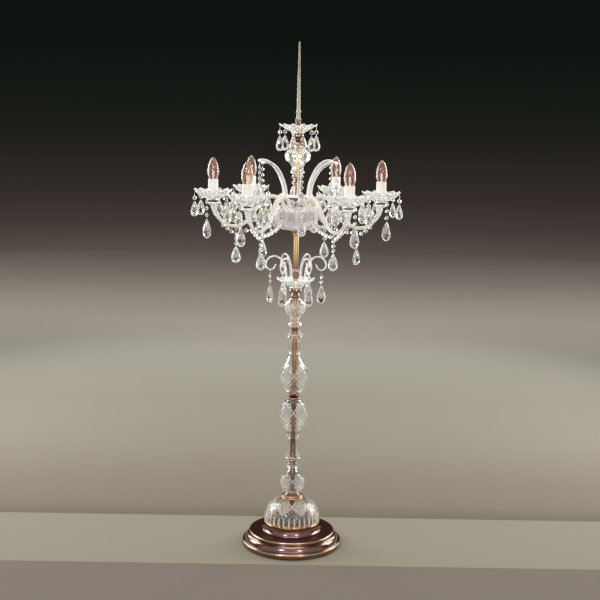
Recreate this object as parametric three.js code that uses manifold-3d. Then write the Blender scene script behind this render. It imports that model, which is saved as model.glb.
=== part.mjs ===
// A six-light crystal floor lamp: a stepped metal foot, a stack of cut-glass balusters on a
// central rod, a spray of glass scrolls, six rope-glass arms with candle lights and hanging
// crystals, a spray of glass canes and a tall glass spire. Millimetres, +Z up, origin on the
// floor under the rod.
import * as THREE from "three";
import { mergeVertices } from "three/addons/utils/BufferGeometryUtils.js";
import Module from "manifold-3d";

const wasm = await Module();
wasm.setup();

// Driving dimensions
const HEIGHT = 1613;
const GAP = 0.3;
const FOOT_RADIUS = 160.5;
const FELT_THICKNESS = 3;
const ROD_RADIUS = 4.9;
const ROD_BORE = 5.3;
const TUBE_RADIUS = 8.6;
const TUBE_BORE = 9.2;
const ARM_AZIMUTHS = [0, 61, 125.5, 180, 236, 306];
const ARM_REACH = 263;
const ARM_TUBE_RADIUS = 6.5;
const ARM_START_RADIUS = 7.9;
const ARM_BELL_RADIUS = 12.8;
const ARM_FOOT_RADIUS = 41;
const ARM_TOP = 1113.7;
const SLEEVE_RADIUS = 15.6;
const CANE_AZIMUTHS = [36, 96, 156, 216, 276, 336];
const CANE_REACH = 132;
const CANE_TOP = 1247;
const CANE_RADIUS = 7.4;
const CANE_KNOB_RADIUS = 6.2;
const SCROLL_AZIMUTHS = [0, 60, 120, 180, 240, 300];
const DISH_PETALS = 12;
const DISH_PENDANTS = 6;
const DISH_RADIUS = 61;
const DISH_HEIGHT = 34;
const LOWER_DISH_HEIGHT = 30;
const TOP_DISH_HEIGHT = 30;
const DISH_FLOOR = 0.24;
const FIRST_PENDANT = [45, 45, 15, 15, 15, 45];
const LONG_PENDANT = [4, 0, 2, 4, 4, 4];
const SWING_RADIUS = 190;

// Heights of the joins along the stem, from the floor up
const Z_FOOT = FELT_THICKNESS + GAP;
const Z_PLINTH = 49;
const Z_DOME_SEAT = 79;
const Z_PLINTH_TOP = 84;
const Z_DOME_TOP = 153;
const Z_BALL = 175;
const Z_COLLAR_LOW = 267.3;
const Z_LOWER_VASE = 286;
const Z_COLLAR_MID = 486.3;
const Z_UPPER_VASE = 509;
const Z_COLLAR_HIGH = 699.3;
const Z_NECK_VASE = 724;
const Z_DISH_COLLAR = 815.3;
const Z_LOWER_DISH = 848;
const Z_POLE_SLEEVE = 868;
const Z_POLE_TUBE = 911.3;
const Z_HUB_COLLAR = 1015;
const Z_HUB_BOWL = 1034;
const Z_RECEIVER = 1039.3;
const Z_CANE_SEAT = 1135.3;
const Z_TOP_BALUSTER = 1207;
const Z_TOP_CUP = 1299;
const Z_TOP_DISH = 1333.3;
const Z_SPIRE = 1377;

// Finishes
const finish = (color, roughness, metalness, opacity = 1) =>
  new THREE.MeshStandardMaterial({ color, roughness, metalness, opacity, transparent: opacity < 1 });
const finishes = {
  copper: () => finish(0x6b3423, 0.32, 1),
  steel: () => finish(0x8f8d88, 0.45, 1),
  iron: () => finish(0x3b3a38, 0.7, 1),
  felt: () => finish(0x2e3a30, 0.95, 0),
  crystal: () => finish(0xe9eeee, 0.05, 0, 0.4),
  ivory: () => finish(0xf2ecdc, 0.5, 0),
  lamp: () => finish(0xf0f2f2, 0.05, 0, 0.35),
};

const radians = THREE.MathUtils.degToRad;
const lamp = new THREE.Group();

// Leaves only positions, with shared corners merged and flat triangles dropped.
function weld(geometry) {
  const bare = geometry.clone();
  bare.deleteAttribute("normal");
  bare.deleteAttribute("uv");
  const welded = mergeVertices(bare, 1e-4);
  const kept = [];
  for (let i = 0; i < welded.index.count; i += 3) {
    const corner = [0, 1, 2].map((k) => welded.index.getX(i + k));
    if (new Set(corner).size === 3) kept.push(...corner);
  }
  welded.setIndex(kept);
  return welded;
}

function toSolid(geometry) {
  const welded = weld(geometry);
  return new wasm.Manifold(new wasm.Mesh({
    numProp: 3,
    vertProperties: new Float32Array(welded.attributes.position.array),
    triVerts: new Uint32Array(welded.index.array),
  }));
}

function toGeometry(solid) {
  const mesh = solid.getMesh();
  const geometry = new THREE.BufferGeometry();
  geometry.setAttribute("position", new THREE.BufferAttribute(new Float32Array(mesh.vertProperties), 3));
  geometry.setIndex(Array.from(mesh.triVerts));
  return geometry;
}

// Joins overlapping closed geometries into one solid.
function join(geometries) {
  return toGeometry(geometries.map(toSolid).reduce((whole, piece) => whole.add(piece)));
}

// Turns a profile of [radius, height] pairs about Z. The outside runs upwards, and a profile
// that doesn't start on the axis closes on itself.
function revolve(profile, sides) {
  const points = profile.map(([r, z]) => new THREE.Vector2(r, z));
  if (profile[0][0] > 0) points.push(points[0].clone());
  return new THREE.LatheGeometry(points, sides).rotateX(Math.PI / 2);
}

// A tube along a curve in the XZ plane, with its radius scaled along its length.
function tube(points, radius, sides, steps, scaleAt = () => 1) {
  const path = new THREE.CatmullRomCurve3(points.map(([x, z]) => new THREE.Vector3(x, 0, z)));
  const section = new THREE.Shape();
  for (let i = 0; i < sides; i++) {
    const turn = (2 * Math.PI * i) / sides;
    const [x, y] = [radius * Math.cos(turn), radius * Math.sin(turn)];
    if (i === 0) section.moveTo(x, y);
    else section.lineTo(x, y);
  }
  section.closePath();
  const geometry = new THREE.ExtrudeGeometry(section, { extrudePath: path, steps });
  const centres = path.getSpacedPoints(steps);
  const place = geometry.attributes.position;
  const point = new THREE.Vector3();
  for (let i = 0; i < place.count; i++) {
    point.fromBufferAttribute(place, i);
    let nearest = 0;
    centres.forEach((centre, k) => {
      if (centre.distanceToSquared(point) < centres[nearest].distanceToSquared(point)) nearest = k;
    });
    point.sub(centres[nearest]).multiplyScalar(scaleAt(nearest / steps)).add(centres[nearest]);
    place.setXYZ(i, point.x, point.y, point.z);
  }
  return geometry;
}

// Moves the points of a revolved rim outwards and upwards on each petal and in between them.
function scallop(geometry, { petals, inner, outer, spread, lift }) {
  const place = geometry.attributes.position;
  for (let i = 0; i < place.count; i++) {
    const [x, y, z] = [place.getX(i), place.getY(i), place.getZ(i)];
    const radius = Math.hypot(x, y);
    const weight = Math.min(Math.max((radius - inner) / (outer - inner), 0), 1) ** 2;
    const wave = -Math.cos(petals * Math.atan2(y, x));
    const stretch = 1 + (spread * weight * wave) / Math.max(radius, 1);
    place.setXYZ(i, x * stretch, y * stretch, z + lift * weight * wave);
  }
  return geometry;
}

// A string of round beads ending in an almond drop, hanging down from z = 0 on one wire.
const WIRE_RADIUS = 1.1;
const CRYSTAL_SIDES = 4;
const CRYSTAL_FLATNESS = 0.55;
function pendant({ beads, beadRadius, pitch, lead, dropLength, dropRadius }) {
  const beadEnd = -lead - beads * pitch;
  const profile = [
    [0, beadEnd - dropLength],
    [dropRadius * 0.62, beadEnd - dropLength * 0.93],
    [dropRadius, beadEnd - dropLength * 0.68],
    [WIRE_RADIUS, beadEnd],
  ];
  for (let i = beads - 1; i >= 0; i--) {
    profile.push([beadRadius, -lead - (i + 0.45) * pitch]);
    profile.push([WIRE_RADIUS, -lead - i * pitch]);
  }
  profile.push([0, 0]);
  return revolve(profile, CRYSTAL_SIDES).scale(1, CRYSTAL_FLATNESS, 1);
}

// A pendant hung at a radius and azimuth, its face turned outwards.
function hang(spec, radius, azimuth, height) {
  return pendant(spec)
    .rotateZ(Math.PI / 2)
    .translate(radius, 0, height)
    .rotateZ(radians(azimuth));
}

const SHORT_PENDANT = { beads: 1, beadRadius: 7.2, pitch: 17, lead: 18.5, dropLength: 50, dropRadius: 14.5 };
const LONG_STRAND = { beads: 4, beadRadius: 6.6, pitch: 21, lead: 12, dropLength: 62, dropRadius: 16.5 };
const SCROLL_PENDANT = { beads: 2, beadRadius: 5.6, pitch: 16, lead: 13, dropLength: 60, dropRadius: 14 };
const SWING_PENDANT = { beads: 3, beadRadius: 6, pitch: 14.5, lead: 2.5, dropLength: 60, dropRadius: 16 };
const CANE_PENDANT = { beads: 4, beadRadius: 5.8, pitch: 17.5, lead: 8, dropLength: 50, dropRadius: 13 };

function addPart(name, geometry, material, parent = lamp) {
  const mesh = new THREE.Mesh(geometry, material);
  mesh.name = name;
  parent.add(mesh);
  return mesh;
}

// A pendant whose wire ends in the glass near the tip of a dish's petal.
function hangOnRim(spec, azimuth, rimHeight) {
  return hang(spec, DISH_RADIUS - 2.6, azimuth, rimHeight - 1.5);
}

const dishRim = { petals: DISH_PETALS, inner: 22, outer: DISH_RADIUS, spread: 1.8, lift: 2 };

// A petalled glass dish standing on z = 0, with a hole for what passes through it.
function dishGeometry(hole, height) {
  const profile = [
    [hole, 0],
    [20, 0],
    [46, 0.48 * height],
    [DISH_RADIUS - 1.8, height - 2],
    [DISH_RADIUS - 5, height - 1.6],
    [19, DISH_FLOOR * height],
    [hole, DISH_FLOOR * height],
  ];
  return scallop(revolve(profile, 2 * DISH_PETALS), dishRim);
}

// The foot: felt, weight, stepped shell and inner plinth.
function addFoot() {
  addPart("felt_pad", revolve([[60, 0], [156, 0], [156, FELT_THICKNESS], [60, FELT_THICKNESS]], 20),
    finishes.felt());
  addPart("base_ballast", revolve([
    [ROD_BORE, Z_FOOT],
    [138, Z_FOOT],
    [138, 14],
    [130, 24],
    [20, 24],
    [20, 40],
    [ROD_BORE, 40],
  ], 16), finishes.iron());
  const ovolo = { r: 129.5, z: 18, radius: 22.5 };
  const round = [0, 30, 62].map((degrees) => [
    ovolo.r + ovolo.radius * Math.cos(radians(degrees)),
    ovolo.z + ovolo.radius * Math.sin(radians(degrees)),
  ]);
  addPart("base_shell", revolve([
    [150, Z_FOOT],
    [FOOT_RADIUS - 2, Z_FOOT],
    [FOOT_RADIUS, 6],
    [FOOT_RADIUS, 14.5],
    [FOOT_RADIUS - 3, 17.5],
    ...round,
    [134, 42],
    [138, 44],
    [137, 48.4],
    [12, Z_PLINTH],
    [12, 45],
    [126, 45],
    [140, 24],
    [150, 12],
  ], 24), finishes.copper());
  addPart("base_plinth", revolve([
    [88, Z_PLINTH + GAP],
    [97, Z_PLINTH + GAP],
    [97, 53],
    [93.5, 57],
    [89.8, 66],
    [89.5, Z_DOME_SEAT],
    [84, Z_DOME_SEAT],
    [84, Z_PLINTH_TOP],
    [ROD_BORE, Z_PLINTH_TOP],
    [ROD_BORE, Z_PLINTH_TOP - 4],
    [79, Z_PLINTH_TOP - 4],
  ], 20), finishes.copper());
}

// The rod that holds the stack, and the tubes over it that show through the glass.
function addStem() {
  const rodEnds = [8, 1368];
  const rod = new THREE.CylinderGeometry(ROD_RADIUS, ROD_RADIUS, rodEnds[1] - rodEnds[0], 8);
  addPart("stem_rod", rod.rotateX(Math.PI / 2).translate(0, 0, (rodEnds[0] + rodEnds[1]) / 2),
    finishes.steel());
  const ring = (bottom, top, radius) => revolve([
    [ROD_BORE, bottom],
    [radius, bottom],
    [radius, top],
    [ROD_BORE, top],
  ], 12);
  addPart("stem_tube", ring(Z_PLINTH_TOP + GAP, Z_POLE_SLEEVE - GAP, TUBE_RADIUS), finishes.copper());
  addPart("pole_sleeve", revolve([
    [ROD_BORE, Z_POLE_SLEEVE],
    [9.3, Z_POLE_SLEEVE],
    [9.8, 889],
    [9, 903],
    [8, Z_POLE_TUBE - GAP],
    [ROD_BORE, Z_POLE_TUBE - GAP],
  ], 12), finishes.copper());
  addPart("pole_tube", ring(Z_POLE_TUBE, Z_HUB_COLLAR - GAP, 8.3), finishes.copper());
}

// The glass dome on the plinth and the cut-glass pieces threaded over the tube.
function addGlassStack() {
  const domeWaves = 16;
  const dome = revolve([
    [85, Z_DOME_SEAT + GAP],
    [89.3, Z_DOME_SEAT + GAP],
    [89.3, 94],
    [85.5, 113],
    [76, 131],
    [58, 145],
    [TUBE_BORE, Z_DOME_TOP],
    [TUBE_BORE, Z_DOME_TOP - 4.5],
    [55, 140],
    [85, 94],
  ], 2 * domeWaves);
  const place = dome.attributes.position;
  for (let i = 0; i < place.count; i++) {
    if (place.getZ(i) > Z_DOME_SEAT + 1) continue;
    const wave = 1 - Math.cos(domeWaves * Math.atan2(place.getY(i), place.getX(i)));
    place.setZ(i, place.getZ(i) + 1.9 * wave);
  }
  addPart("glass_dome", dome, finishes.crystal());
  addPart("glass_ball", revolve([
    [TUBE_BORE, Z_BALL],
    [20, Z_BALL],
    [27, 180],
    [35.5, 190],
    [39.5, 206],
    [38.3, 219],
    [33.5, 227],
    [23.5, 234.5],
    [18.3, 247],
    [15.8, 255],
    [21.5, 262],
    [20, Z_COLLAR_LOW - GAP],
    [TUBE_BORE, Z_COLLAR_LOW - GAP],
    [11.5, 245],
    [31, 220],
    [34, 202],
    [24, 182],
  ], 14), finishes.crystal());
  addPart("lower_vase", revolve([
    [TUBE_BORE, Z_LOWER_VASE],
    [16, Z_LOWER_VASE],
    [27, 295],
    [18.5, 327],
    [15.8, 350],
    [19.1, 369],
    [37, 402],
    [43.5, 420],
    [44.5, 438],
    [38.8, 465],
    [22, Z_COLLAR_MID - GAP],
    [TUBE_BORE, Z_COLLAR_MID - GAP],
    [35, 463],
    [40, 436],
    [33, 402],
    [12, 356],
    [21, 296],
  ], 14), finishes.crystal());
  addPart("upper_vase", revolve([
    [TUBE_BORE, Z_UPPER_VASE],
    [24, Z_UPPER_VASE],
    [37.3, 531],
    [43.5, 549],
    [44.3, 563],
    [41, 581],
    [20.4, 620],
    [17.3, 642],
    [19.5, 678],
    [26.6, 696],
    [25, Z_COLLAR_HIGH - GAP],
    [20, Z_COLLAR_HIGH - GAP],
    [13, 650],
    [14.5, 627],
    [35, 583],
    [39.5, 556],
    [31, 529],
    [TUBE_BORE, 513],
  ], 14), finishes.crystal());
  addPart("neck_vase", revolve([
    [TUBE_BORE, Z_NECK_VASE],
    [16, Z_NECK_VASE],
    [21, 730],
    [15, 746],
    [21, 756],
    [33, 776],
    [33.5, 789],
    [27, 804],
    [16, Z_DISH_COLLAR - GAP],
    [TUBE_BORE, Z_DISH_COLLAR - GAP],
    [28, 787],
    [12, 748],
  ], 14), finishes.crystal());
  addPart("top_baluster", revolve([
    [ROD_BORE, Z_TOP_BALUSTER],
    [17, Z_TOP_BALUSTER],
    [22.5, 1211.5],
    [18, 1219],
    [19, 1229],
    [25, 1240.5],
    [37, 1250],
    [40, 1262],
    [38.5, 1273],
    [27, 1284],
    [18, 1291],
    [17, Z_TOP_CUP - GAP],
    [ROD_BORE, Z_TOP_CUP - GAP],
  ], 14), finishes.crystal());
}

// The turned metal collars between the glass pieces.
function addCollars() {
  addPart("dome_cap", revolve([
    [TUBE_BORE, Z_DOME_TOP + GAP],
    [24, Z_DOME_TOP + GAP],
    [34.5, 158],
    [35.5, 163],
    [32.5, 168],
    [25, 171.5],
    [20, Z_BALL - GAP],
    [TUBE_BORE, Z_BALL - GAP],
  ], 12), finishes.copper());
  addPart("collar_low", revolve([
    [TUBE_BORE, Z_COLLAR_LOW],
    [12, Z_COLLAR_LOW],
    [15, 271],
    [11.5, 275],
    [16, 280],
    [14, Z_LOWER_VASE - GAP],
    [TUBE_BORE, Z_LOWER_VASE - GAP],
  ], 12), finishes.copper());
  addPart("collar_mid", revolve([
    [TUBE_BORE, Z_COLLAR_MID],
    [18, Z_COLLAR_MID],
    [22.5, 489.5],
    [13, 497],
    [21.4, 505],
    [18, Z_UPPER_VASE - GAP],
    [TUBE_BORE, Z_UPPER_VASE - GAP],
  ], 12), finishes.copper());
  addPart("collar_high", revolve([
    [TUBE_BORE, Z_COLLAR_HIGH],
    [12, Z_COLLAR_HIGH],
    [16, 705],
    [11.5, 711],
    [16, 717],
    [13, Z_NECK_VASE - GAP],
    [TUBE_BORE, Z_NECK_VASE - GAP],
  ], 12), finishes.copper());
  addPart("dish_collar", revolve([
    [TUBE_BORE, Z_DISH_COLLAR],
    [12, Z_DISH_COLLAR],
    [14.6, 822],
    [10.4, 828],
    [20.5, 839],
    [19, Z_LOWER_DISH - GAP],
    [TUBE_BORE, Z_LOWER_DISH - GAP],
  ], 12), finishes.copper());
  addPart("hub_collar", revolve([
    [ROD_BORE, Z_HUB_COLLAR],
    [10, Z_HUB_COLLAR],
    [9.5, 1022],
    [16.6, 1029],
    [15, Z_HUB_BOWL - GAP],
    [ROD_BORE, Z_HUB_BOWL - GAP],
  ], 12), finishes.copper());
  addPart("top_collar", revolve([
    [ROD_BORE, Z_CANE_SEAT + GAP],
    [6.8, Z_CANE_SEAT + GAP],
    [6.8, 1165],
    [12.5, 1171],
    [13, 1178],
    [7.5, 1186],
    [8.5, 1191],
    [16.5, 1199.5],
    [15, 1204.5],
    [11, Z_TOP_BALUSTER - GAP],
    [ROD_BORE, Z_TOP_BALUSTER - GAP],
  ], 12), finishes.copper());
  addPart("top_cup", revolve([
    [ROD_BORE, Z_TOP_CUP],
    [14, Z_TOP_CUP],
    [17, 1302],
    [8.7, 1312],
    [18, 1328],
    [19, Z_TOP_DISH - GAP],
    [ROD_BORE, Z_TOP_DISH - GAP],
  ], 12), finishes.copper());
}

// The lower dish, and the six thin scrolls that rise from it and carry drops.
function addScrolls() {
  const lowerDish = dishGeometry(TUBE_BORE, LOWER_DISH_HEIGHT).translate(0, 0, Z_LOWER_DISH);
  addPart("lower_dish", lowerDish, finishes.crystal());
  const seat = Z_LOWER_DISH + DISH_FLOOR * LOWER_DISH_HEIGHT + GAP;
  const scroll = tube([
    [29.5, seat + 10], [29.5, 885], [34.5, 917], [48, 941], [67, 950.5], [87, 944],
    [97, 926], [92, 910], [81.5, 904.5], [70, 909], [64, 922],
  ], 3.5, 5, 16, (t) => 1.3 - 0.45 * t);
  const foot = revolve([[10, seat], [18, seat], [33, seat + 9.3], [33, seat + 13], [10, seat + 13]], 10);
  const drop = hang(SCROLL_PENDANT, 81.5, 0, 903);
  const pieces = SCROLL_AZIMUTHS.flatMap((azimuth) => [
    scroll.clone().rotateZ(radians(azimuth)),
    drop.clone().rotateZ(radians(azimuth)),
  ]);
  addPart("scroll_spray", join([foot, ...pieces]), finishes.crystal());
}

// The hub: a fluted bowl, the metal receiver in it, and the spray of canes on top.
function addHub() {
  const bowl = revolve([
    [ROD_BORE, Z_HUB_BOWL],
    [46, Z_HUB_BOWL],
    [69, 1050],
    [73.5, 1103],
    [70, 1103],
    [64, 1055],
    [44, Z_RECEIVER - GAP],
    [ROD_BORE, Z_RECEIVER - GAP],
  ], 24);
  scallop(bowl, { petals: DISH_PETALS, inner: 30, outer: 73, spread: 2, lift: 1.6 });
  addPart("hub_bowl", bowl, finishes.crystal());

  const cupTop = 1090;
  const receiver = revolve([
    [ROD_BORE, Z_RECEIVER],
    [16, Z_RECEIVER],
    [16, 1058],
    [54, 1060],
    [54, 1066],
    [8.5, 1069],
    [8.5, 1122],
    [30, 1130],
    [30, Z_CANE_SEAT - GAP],
    [ROD_BORE, Z_CANE_SEAT - GAP],
  ], 16);
  const cup = revolve([[0, 1063], [12, 1063], [12.4, cupTop], [9.5, cupTop], [9.5, 1069], [0, 1069]], 6);
  addPart("arm_receiver", join([
    receiver,
    ...ARM_AZIMUTHS.map((a) => cup.clone().translate(ARM_FOOT_RADIUS, 0, 0).rotateZ(radians(a))),
  ]), finishes.copper());

  const cane = tube([
    [44, Z_CANE_SEAT + 1], [45.5, 1158], [52, 1182], [67, 1211.5], [82, 1230], [104, 1244.5],
    [120, 1248], [CANE_REACH - 1, CANE_TOP],
  ], CANE_RADIUS, 6, 10, (t) => 1 - 0.18 * t + 0.25 * Math.max(0, 1 - t / 0.1));
  const knob = new THREE.SphereGeometry(CANE_KNOB_RADIUS, 6, 4).translate(CANE_REACH, 0, CANE_TOP);
  const string = hang(CANE_PENDANT, CANE_REACH, 0, CANE_TOP - 5);
  const foot = revolve([
    [12, Z_CANE_SEAT],
    [45, Z_CANE_SEAT],
    [45, Z_CANE_SEAT + 4],
    [12, Z_CANE_SEAT + 4],
  ], 12);
  const pieces = CANE_AZIMUTHS.flatMap((azimuth) =>
    [cane, knob, string].map((piece) => piece.clone().rotateZ(radians(azimuth))));
  addPart("cane_spray", join([foot, ...pieces]), finishes.crystal());
}

// The arm's thickness along its length: it thins towards the valley and ends in a bell.
const ARM_VALLEY_AT = 0.55;
const ARM_BELL_AT = 0.84;
const ARM_BELL_END = 0.93;
function armScale(t) {
  const start = (ARM_START_RADIUS / ARM_TUBE_RADIUS - 1) * Math.max(0, 1 - t / ARM_VALLEY_AT);
  const opening = Math.min(Math.max((t - ARM_BELL_AT) / (ARM_BELL_END - ARM_BELL_AT), 0), 1);
  return 1 + start + (ARM_BELL_RADIUS / ARM_TUBE_RADIUS - 1) * opening;
}

// One arm with the eye that its swinging crystal hangs in.
const EYE_MAJOR = 4;
const EYE_MINOR = 1;
const EYE_CENTRE = 1031.8;
function armGeometry() {
  const route = tube([
    [ARM_FOOT_RADIUS, 1070], [ARM_FOOT_RADIUS, 1104], [53, 1127], [78, 1136], [103, 1126],
    [130, 1093], [158, 1056], [SWING_RADIUS, 1041], [222, 1049], [249, 1075], [262, 1097], [ARM_REACH, 1110],
  ], ARM_TUBE_RADIUS, 6, 20, armScale);
  const flange = revolve([
    [0, ARM_TOP - 6],
    [14, ARM_TOP - 6],
    [20, ARM_TOP - 3],
    [20, ARM_TOP],
    [0, ARM_TOP],
  ], 8).translate(ARM_REACH, 0, 0);
  const eye = new THREE.TorusGeometry(EYE_MAJOR, EYE_MINOR, 4, 8)
    .rotateX(Math.PI / 2)
    .translate(SWING_RADIUS, 0, EYE_CENTRE);
  return join([route, flange, eye]);
}

// The hanging crystal: its ring goes round the bottom of the eye and leaves room to swing.
function swingGeometry() {
  const ringMajor = 3.2;
  const ringMinor = 0.9;
  const ringTop = EYE_CENTRE - EYE_MAJOR + EYE_MINOR + ringMinor + 0.4;
  const ringCentre = ringTop - ringMajor;
  const ring = new THREE.TorusGeometry(ringMajor, ringMinor, 4, 8)
    .rotateX(Math.PI / 2)
    .rotateZ(Math.PI / 2)
    .translate(SWING_RADIUS, 0, ringCentre);
  const crystal = hang(SWING_PENDANT, SWING_RADIUS, 0, ringCentre - ringMajor + 0.4);
  return join([ring, crystal]);
}

// The candle: a metal foot under the dish, an ivory sleeve, and the lamp's socket.
function candleGeometry() {
  return revolve([
    [0, ARM_TOP + GAP],
    [14, ARM_TOP + GAP],
    [14, 1121.7],
    [5.6, 1121.7],
    [5.6, 1130.5],
    [SLEEVE_RADIUS, 1130.5],
    [SLEEVE_RADIUS, 1186.5],
    [SLEEVE_RADIUS - 1.5, 1186.5],
    [SLEEVE_RADIUS - 1.5, 1174],
    [7.9, 1174],
    [7.9, 1152.5],
    [0, 1152.5],
  ], 8);
}

function bulbGeometry() {
  return revolve([
    [0, 1153],
    [7, 1157],
    [7, 1176],
    [13, 1188],
    [17.5, 1208],
    [16.6, 1224],
    [13, 1238],
    [6, 1250.5],
    [0, 1254.2],
  ], 10);
}

function addLights() {
  const armShape = armGeometry();
  const swingShape = swingGeometry();
  const candleShape = candleGeometry();
  const bulbShape = bulbGeometry();
  const dishBottom = 1122;
  ARM_AZIMUTHS.forEach((azimuth, i) => {
    const number = i + 1;
    const armGroup = new THREE.Group();
    armGroup.rotation.z = radians(azimuth);
    lamp.add(armGroup);
    addPart(`arm_${number}`, armShape, finishes.crystal(), armGroup);
    addPart(`drop_${number}`, swingShape, finishes.crystal(), armGroup);

    const lightGroup = new THREE.Group();
    lightGroup.position.x = ARM_REACH * Math.cos(radians(azimuth));
    lightGroup.position.y = ARM_REACH * Math.sin(radians(azimuth));
    lamp.add(lightGroup);
    const pendants = [];
    for (let k = 0; k < DISH_PENDANTS; k++) {
      const spec = k === LONG_PENDANT[i] ? LONG_STRAND : SHORT_PENDANT;
      pendants.push(hangOnRim(spec, FIRST_PENDANT[i] + 60 * k, dishBottom + DISH_HEIGHT));
    }
    const dish = dishGeometry(6.2, DISH_HEIGHT).translate(0, 0, dishBottom);
    addPart(`dish_${number}`, join([dish, ...pendants]), finishes.crystal(), lightGroup);
    addPart(`candle_${number}`, candleShape, finishes.ivory(), lightGroup);
    addPart(`bulb_${number}`, bulbShape, finishes.lamp(), lightGroup);
  });
}

// The top dish with its crystals, the ferrule and the spire.
function addTop() {
  const pendants = [];
  for (let k = 0; k < DISH_PENDANTS; k++) {
    pendants.push(hangOnRim(SHORT_PENDANT, 15 + 60 * k, Z_TOP_DISH + TOP_DISH_HEIGHT));
  }
  const dish = dishGeometry(ROD_BORE, TOP_DISH_HEIGHT).translate(0, 0, Z_TOP_DISH);
  addPart("top_dish", join([dish, ...pendants]), finishes.crystal());
  const floor = Z_TOP_DISH + DISH_FLOOR * TOP_DISH_HEIGHT + GAP;
  addPart("spire_collar", revolve([
    [0, 1369],
    [ROD_BORE, 1369],
    [ROD_BORE, floor],
    [13, floor],
    [9, floor + 6],
    [8.6, Z_SPIRE - GAP],
    [0, Z_SPIRE - GAP],
  ], 12), finishes.copper());
  addPart("spire", revolve([
    [0, Z_SPIRE],
    [7.6, Z_SPIRE],
    [7, 1392],
    [8.6, 1398],
    [7.2, 1405],
    [2.4, HEIGHT - 8],
    [0, HEIGHT],
  ], 8), finishes.crystal());
}

addFoot();
addStem();
addGlassStack();
addCollars();
addScrolls();
addHub();
addLights();
addTop();

export default lamp;
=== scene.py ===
"""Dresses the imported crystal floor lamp: cut glass, copper bronze, candle lights and crystals.

Lengths are written in millimetres, measured on the lamp, and turned into metres where they
become geometry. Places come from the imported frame.
"""
import logging
import math
from collections.abc import Callable, Iterable, Sequence
from dataclasses import dataclass
from enum import Enum

import bmesh
import bpy
from mathutils import Matrix, Vector


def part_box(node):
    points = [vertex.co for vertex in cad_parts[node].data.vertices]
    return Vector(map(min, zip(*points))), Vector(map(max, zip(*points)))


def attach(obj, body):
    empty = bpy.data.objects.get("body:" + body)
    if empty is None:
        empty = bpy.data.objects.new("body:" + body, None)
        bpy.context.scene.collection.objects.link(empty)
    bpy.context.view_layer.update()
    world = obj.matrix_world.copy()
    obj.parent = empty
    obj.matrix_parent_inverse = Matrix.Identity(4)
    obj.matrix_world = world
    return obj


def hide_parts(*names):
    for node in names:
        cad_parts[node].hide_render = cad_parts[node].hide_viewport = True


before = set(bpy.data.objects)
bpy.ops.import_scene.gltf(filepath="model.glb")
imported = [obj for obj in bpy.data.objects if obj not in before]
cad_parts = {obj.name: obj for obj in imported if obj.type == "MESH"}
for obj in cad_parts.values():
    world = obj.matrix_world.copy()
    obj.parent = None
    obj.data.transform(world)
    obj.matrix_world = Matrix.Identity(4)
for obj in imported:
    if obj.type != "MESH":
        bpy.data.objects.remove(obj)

log = logging.getLogger("crystal_floor_lamp")

MM = 0.001
STAND = "stand"
LIGHTS = range(1, 7)
PETALS = 12

Point = tuple[float, float]
Colour = tuple[float, float, float]


class Slot(Enum):
    """The record's material slots."""

    COPPER = "copper"
    STEEL = "steel"
    IRON = "iron"
    FELT = "felt"
    CRYSTAL = "crystal"
    BULB_GLASS = "bulb_glass"
    IVORY = "ivory"


# Shader maths


class Signal:
    """A shader value: an output socket or a number, with the arithmetic of Math nodes."""

    def __init__(self, net: "Net", source: bpy.types.NodeSocket | float) -> None:
        """Wraps one output socket, or a plain number."""
        self.net = net
        self.source = source

    def _math(self, operation: str, *others: "Signal | float", flip: bool = False) -> "Signal":
        """Adds a Math node on this value and the others."""
        terms = [self, *others]
        if flip:
            terms.reverse()
        node = self.net.node("ShaderNodeMath", {"operation": operation}, dict(enumerate(terms)))
        return Signal(self.net, node.outputs[0])

    def __add__(self, other: "Signal | float") -> "Signal":
        """Sum."""
        return self._math("ADD", other)

    __radd__ = __add__

    def __sub__(self, other: "Signal | float") -> "Signal":
        """Difference."""
        return self._math("SUBTRACT", other)

    def __rsub__(self, other: float) -> "Signal":
        """Difference with the number first."""
        return self._math("SUBTRACT", other, flip=True)

    def __mul__(self, other: "Signal | float") -> "Signal":
        """Product."""
        return self._math("MULTIPLY", other)

    __rmul__ = __mul__

    def root(self) -> "Signal":
        """Square root."""
        return self._math("SQRT")

    def at_most(self, limit: float) -> "Signal":
        """The smaller of this value and a limit."""
        return self._math("MINIMUM", limit)

    def between(self, low: float, high: float) -> "Signal":
        """0 below low, 1 above high and smooth in between."""
        node = self.net.node(
            "ShaderNodeMapRange",
            {"interpolation_type": "SMOOTHSTEP"},
            {"Value": self, "From Min": low, "From Max": high},
        )
        return Signal(self.net, node.outputs["Result"])


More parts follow.
